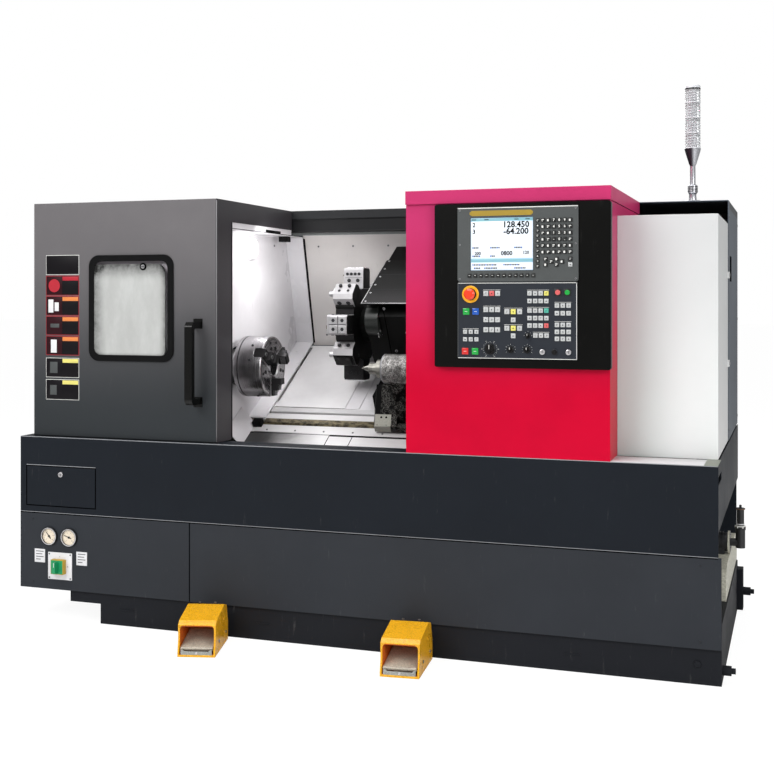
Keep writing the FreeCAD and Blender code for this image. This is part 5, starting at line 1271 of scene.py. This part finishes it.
class Display(bpy.types.Operator):
    """Dresses the operator panel's frame, its display and its lit screen"""
    bl_idname = "lathe.display"
    bl_label = "Display"

    def execute(self, context):
        dress("frame", 1.5, "operator_frame")
        dress("bezel", 1.2, "display_unit")
        dress("board", 0.6, "control_board")
        page = Form(PANEL @ Matrix.Translation((0, 2, 0)))
        page.box("screen", 0, (540, 0, 1421, 768, 2, 1609))
        for finish, low, high in (("screen band", 1597, 1608), ("screen white", 1464, 1596),
                                  ("screen band", 1450, 1462), ("screen white", 1422, 1448)):
            page.box(finish, 0.05, (541, -0.2, low, 767, 0, high))
        for text, x, z, size in (("128.450", 706, 1583, 30), ("-64.200", 706, 1559, 30),
                                 ("2", 552, 1583, 22), ("3", 552, 1559, 22),
                                 ("0800", 672, 1481, 21), ("120", 742, 1483, 15),
                                 ("200", 566, 1481, 15)):
            page.label(text, (x, -0.2, z), size, "gap", 0.3, 0.03)
        for x, z, dashes in ((546, 1499, 4), (612, 1499, 6), (700, 1499, 5), (546, 1469, 5),
                             (612, 1469, 3), (546, 1438, 15), (660, 1438, 10), (552, 1426, 4),
                             (590, 1426, 8), (700, 1426, 7)):
            for step in range(dashes):
                page.box("ink" if step % 4 else "blue", 0,
                         (x + 6 * step, -0.35, z, x + 6 * step + 4.6, -0.2, z + 5))
        page.box("ink", 0, *((x, -0.35, 1601, x + 16, -0.2, 1604) for x in (544, 590, 700, 740)))
        page.done("screen_page", "base", 0, ("display_screen",))
        rim = Form(PANEL)
        rim.box("key dark", 0.3, (538.4, -0.6, 1419.4, 769.6, 0.4, 1421),
                (538.4, -0.6, 1609, 769.6, 0.4, 1610.6), (538.4, -0.6, 1420, 540, 0.4, 1610),
                (768, -0.6, 1420, 769.6, 0.4, 1610))
        rim.prism([(544, 1616), (760, 1616), (768, 1622), (768, 1629), (760, 1635),
                   (544, 1635), (536, 1629), (536, 1622)], "Y", -0.8, 1, "gold")
        for finish, x, low, right, high in (("mark", 492, 1105, 924, 1107),
                                            ("mark", 492, 1374, 924, 1376),
                                            ("bezel", 492, 1105, 494, 1376),
                                            ("mark", 922, 1105, 924, 1376)):
            rim.box(finish, 0.2, (x, -0.6, low, right, 0.2, high))
        rim.box("mark", 0.2, (492, -0.7, 1643, 928, -0.2, 1646))
        rim.screws("dull", grid((500, 920), 0, (1390, 1513, 1637)), "Y", 3.4, -1.6)
        rim.box("bezel", 0.6, (1041, 7, 1078, 1043, 28, 1654))
        rim.done("display_trim")
        return {"FINISHED"}


KEYS = (
    # first x, step, columns, first z, step, rows, side, plain finish, {(column, row): finish}
    (785, 0, 1, 1596, 18, 10, 13, "key dark", {}),
    (804, 19.4, 6, 1596, 22.4, 6, 15, "key dark", {}),
    (814, 39, 2, 1459, 20, 2, 15, "key dark", {}),
    (834, 38, 2, 1450, 0, 1, 15, "key dark", {}),
    (901, 0, 1, 1459, 20, 2, 15, "key dark", {(0, 1): "key"}),
    (536, 21.2, 12, 1402, 0, 1, 14, "key dark", {}),
    (524, 35, 2, 1273, 0, 1, 24, "green", {(1, 0): "blue"}),
    (520, 21, 3, 1200, 27, 2, 15, "key", {}),
    (520, 37, 2, 1130, 0, 1, 24, "red", {(1, 0): "green"}),
    (597, 21.5, 3, 1338, 0, 1, 18, "key", {(1, 0): "rose"}),
    (597, 21.5, 3, 1280, 36, 3, 18, "key", {}),
    (674, 23, 3, 1273, 0, 1, 18, "key", {(1, 0): "yellow"}),
    (674, 23, 3, 1214, 0, 1, 18, "key", {(1, 0): "yellow"}),
    (697, 0, 1, 1243.5, 56.5, 2, 17, "key", {}),
    (756, 20, 4, 1338, 27, 2, 16, "key", {(3, 0): "yellow"}),
    (756, 20, 4, 1277, 26.5, 3, 16, "key", {(3, 0): "teal", (3, 2): "rose"}),
    (777, 20, 3, 1189, 0, 1, 16, "key", {}),
    (854, 20.5, 3, 1295, 27, 2, 16, "key", {}),
    (854, 20.5, 3, 1227, 24.5, 3, 16, "key", {}),
)
KEY_FRONT, PRINT = -3.6, -3.7


class Keys(bpy.types.Operator):
    """Builds every key of the panel as a cap with rounded edges and its print"""
    bl_idname = "lathe.keys"
    bl_label = "Keys"

    def execute(self, context):
        edge = context.scene.lathe_sizes.key_edge / MM
        caps = Form(PANEL)
        for x0, step_x, columns, z0, step_z, rows, side, plain, special in KEYS:
            half = side / 2
            for column, row in product(range(columns), range(rows)):
                x, z = x0 + step_x * column, z0 - step_z * row
                finish = special.get((column, row), plain)
                caps.box(finish, edge, (x - half, KEY_FRONT, z - half, x + half, 0, z + half))
                print_key(caps, x, z, half, finish, column, row, columns)
            if plain == "key" and step_x:
                left, right = x0 - half - 1.5, x0 + step_x * (columns - 1) + half + 1.5
                top = z0 + half + 3
                caps.box("mark", 0, (left, -0.25, top, right, 0, top + 1.1))
        caps.done("panel_key_caps", "base", 0, ("panel_keys",))
        return {"FINISHED"}


def print_key(form, x, z, half, finish, column, row, columns):
    """A small mark on a key: figures on the number keys, a bar or a square on the others."""
    ink = "mark" if finish in ("key dark", "red", "green", "blue") else "ink"

    def bars(*rows):
        """Flat bars on the key's front, each given by its corners from the key's middle."""
        form.box(ink, 0, *((x + left, PRINT, z + low, x + right, PRINT + 0.2, z + high)
                           for left, low, right, high in rows))

    if columns == 6 and 2 <= column <= 4 and row < 4:
        form.label(("789", "456", "123", "-0.")[row][column - 2], (x, PRINT, z), 12, ink, 0.2, 0.03)
    elif finish == "key dark" and columns in (2, 6):
        if (column + row) % 2:
            bars((-4.6, -4.4, 1.4, 3.4))
        else:
            bars((-4.6, 0.6, 3.4, 3.4), (-4.6, -3.8, -0.6, -1.2))
    elif columns == 12 or half > 9:
        bars((half * -0.4, -0.7, half * 0.4, 0.7))
    elif (column + row) % 3 == 0:
        bars((-3.2, 1.2, 3.2, 2.6), (-3.2, -2.6, 1.2, -1.4))
    elif (column + row) % 3 == 1:
        form.prism([(x - 3, z - 2.4), (x + 3, z - 2.4), (x, z + 3)], "Y", PRINT, 0.2, ink)
    else:
        bars((-2.6, -2.6, 2.6, -1.4), (-2.6, 1.2, 2.6, 2.4), (1.2, -2.6, 2.6, 2.4))


DIALS = (
    # body, mark's name, x, z, cap's radius, scale's radius, its sweep to each side, its marks
    ("feed_dial", "feed_dial_mark", 612, 1139, 19, 24, 150, 21),
    ("mode_dial_left", "mode_left_dial_mark", 687, 1138, 12, 16.5, 120, 9),
    ("mode_dial_right", "mode_right_dial_mark", 747, 1138, 12, 16.5, 120, 9),
    ("spindle_dial", "spindle_dial_mark", 750, 1189, 9, 12, 90, 5),
)


class Dials(bpy.types.Operator):
    """Dresses the stop button, dials, push buttons and key switches"""
    bl_idname = "lathe.dials"
    bl_label = "Dials and buttons"

    def execute(self, context):
        dress("stop", 0.5, "stop_button")
        dress("black", 0.5, "feed_knob", "mode_knob_left", "mode_knob_right", "spindle_knob")
        dress("rose", 0.5, "start_button")
        dress("green", 0.5, "hold_button")
        rings = Form(PANEL)
        rings.turned((540, -4, 1335), "Y", [(3.8, 31), (0.4, 31), (-0.8, 29.5), (-0.8, 24),
                                           (0.2, 21), (0.2, 10)], "collar", 56)
        rings.box("key dark", 0.5, *((x - 13, -1.2, 1328, x + 13, 0, 1354) for x in (857, 891)))
        for _, _, x, z, _, scale, sweep, count in DIALS:
            rings.ticks("mark", (x, 0, z), sweep, count, 2, (scale, scale + 3.4),
                        (scale, scale + 2.2), 0.4)
        for step, spot in enumerate(circle((612, -0.1, 1139), "Y", 31, range(240, -61, -60))):
            rings.label(str(2 * step), spot, 5.5, "mark", 0.15)
        for x, finish in ((802, "bright"), (845, "black"), (895, "bright")):
            rings.turned((x, -6, 1131), "Y", [(0.4, 9.6), (-0.4, 9.6), (-1.2, 8), (-1.2, 6),
                                             (-0.6, 5.4), (-0.6, 0)], finish, 32)
            rings.box("ink", 0.2, (x - 0.8, -7.2, 1127, x + 0.8, -6.4, 1135))
        rings.done("dial_rings")
        for body, name, x, z, radius, *_ in DIALS:
            cap = Form(PANEL)
            for spot in circle((x, -3, z), "Y", radius - 0.3, range(0, 360, 15)):
                cap.turned(spot, "Y", [(0, 0.9), (2.4, 0.9)], "black", 6)
            cap.box("mark", 0.1, (x - 0.9, -18.3, z, x + 0.9, -17.8, z + radius - 4))
            cap.done(name, body)
        return {"FINISHED"}


# ---------------------------------------------------------------- floor, light and camera

PIXELS = 774    # the picture's side
FOCAL = 1196    # in pixels
RISE = -88      # from the picture's middle to the row at the camera's height
SENSOR = 36     # in millimetres
LIGHTS = (
    # name, place, what it faces, its size, its power, its spread in degrees
    ("key", (-2.5, -5.5, 4.6), (0, -0.6, 1), 3.5, 230, 180),
    ("fill", (4.8, -4.2, 2.8), (0.3, -0.4, 0.9), 3, 120, 180),
    ("top", (0, -0.6, 5), (0, -0.2, 0.5), 4, 150, 180),
    ("back", (-1, 5, 4), (0, 0, 1), 4, 120, 180),
    ("lamp", (-0.55, -0.26, 1.48), (-0.1, -0.1, 1.2), 0.12, 1.1, 180),
    ("glow", (-0.46, -0.34, 1.53), (-0.6, -0.2, 1.5), 0.1, 0.6, 180),
    ("chamber", (0.24, -0.46, 1.5), (-0.6, -0.2, 1.12), 0.3, 1.5, 100),
)


def put(scene, name, data, place):
    """An object with its data, at its place in the scene."""
    made = bpy.data.objects.new(name, data)
    made.location = place
    scene.collection.objects.link(made)
    return made


class Stage(bpy.types.Operator):
    """Makes the floor, the plain light and the camera"""
    bl_idname = "lathe.stage"
    bl_label = "Floor, light and camera"

    def execute(self, context):
        scene = context.scene
        half = scene.lathe_sizes.floor_half
        ground = Sheet("floor paint")
        seen = ground.add("ShaderNodeLightPath", out="Is Camera Ray")
        grey = ground.mix(ground.noise(2, 4), (0.8, 0.8, 0.8, 1), (0.84, 0.84, 0.84, 1))
        matt = ground.add("ShaderNodeBsdfPrincipled", {}, {"Base Color": grey, "Roughness": 0.7})
        lit = ground.add("ShaderNodeEmission", {}, {"Color": (1, 1, 1, 1), "Strength": 1.15})
        # The camera sees the floor mostly as plain white, with a fifth of its shading
        both = ground.add("ShaderNodeMixShader", {}, {0: seen * 0.8, 1: matt, 2: lit})
        ground.add("ShaderNodeOutputMaterial", {}, {"Surface": both})
        mesh = bpy.data.meshes.new("floor")
        mesh.from_pydata([(-half, -half, 0), (half, -half, 0), (half, half, 0), (-half, half, 0)],
                         [], [(0, 1, 2, 3)])
        mesh.materials.append(ground.owner)
        put(scene, "floor", mesh, (0, 0, -0.0004))

        sky = Sheet("studio", "worlds")
        seen = sky.add("ShaderNodeLightPath", out="Is Camera Ray") + sky.add(
            "ShaderNodeLightPath", out="Is Transmission Ray")
        soft, bright = (sky.add("ShaderNodeBackground", {},
                                {"Color": (1, 1, 1, 1), "Strength": power}) for power in (0.42, 1))
        both = sky.add("ShaderNodeMixShader", {}, {0: seen.clamp(), 1: soft, 2: bright})
        sky.add("ShaderNodeOutputWorld", {}, {"Surface": both})
        scene.world = sky.owner

        for name, place, target, size, power, spread in LIGHTS:
            lamp = bpy.data.lights.new(name, "AREA")
            lamp.size = size
            lamp.energy = power
            lamp.spread = math.radians(spread)
            aim = Vector(target) - Vector(place)
            put(scene, name, lamp, place).rotation_euler = aim.to_track_quat("-Z", "Y").to_euler()

        lens = bpy.data.cameras.new("camera")
        lens.sensor_width = SENSOR
        lens.lens = SENSOR * FOCAL / PIXELS
        lens.shift_y = RISE / PIXELS
        lens.clip_end = 200
        camera = put(scene, "camera", lens, (1.66124, -4.95, 1.318))
        camera.rotation_euler = (math.pi / 2, 0, math.radians(19.05))
        scene.camera = camera
        scene.view_settings.view_transform = "Standard"
        return {"FINISHED"}


STEPS = (Finishes, Base, Gauges, Door, Enclosure, Chamber, Chuck, Turret, Tailstock, Tower, Pump,
         Pedals, Display, Keys, Dials, Stage)


class LathePanel(bpy.types.Panel):
    """Lists the lathe's sizes, colours and pieces"""
    bl_idname = "VIEW3D_PT_lathe"
    bl_label = "Turning lathe"
    bl_space_type = "VIEW_3D"
    bl_region_type = "UI"
    bl_category = "Lathe"

    def draw(self, context):
        for group in (context.scene.lathe_tones, context.scene.lathe_sizes):
            for key in group.__annotations__:
                self.layout.prop(group, key)
        for step in STEPS:
            self.layout.operator(step.bl_idname)


CLASSES = (LatheTones, LatheSizes) + STEPS + (LathePanel,)


def register():
    for made in CLASSES:
        bpy.utils.register_class(made)
    bpy.types.Scene.lathe_tones = bpy.props.PointerProperty(type=LatheTones)
    bpy.types.Scene.lathe_sizes = bpy.props.PointerProperty(type=LatheSizes)


def unregister():
    del bpy.types.Scene.lathe_sizes
    del bpy.types.Scene.lathe_tones
    for made in reversed(CLASSES):
        bpy.utils.unregister_class(made)


def main():
    register()
    for step in STEPS:
        group, name = step.bl_idname.split(".")
        getattr(getattr(bpy.ops, group), name)()


if __name__ == "__main__":
    main()
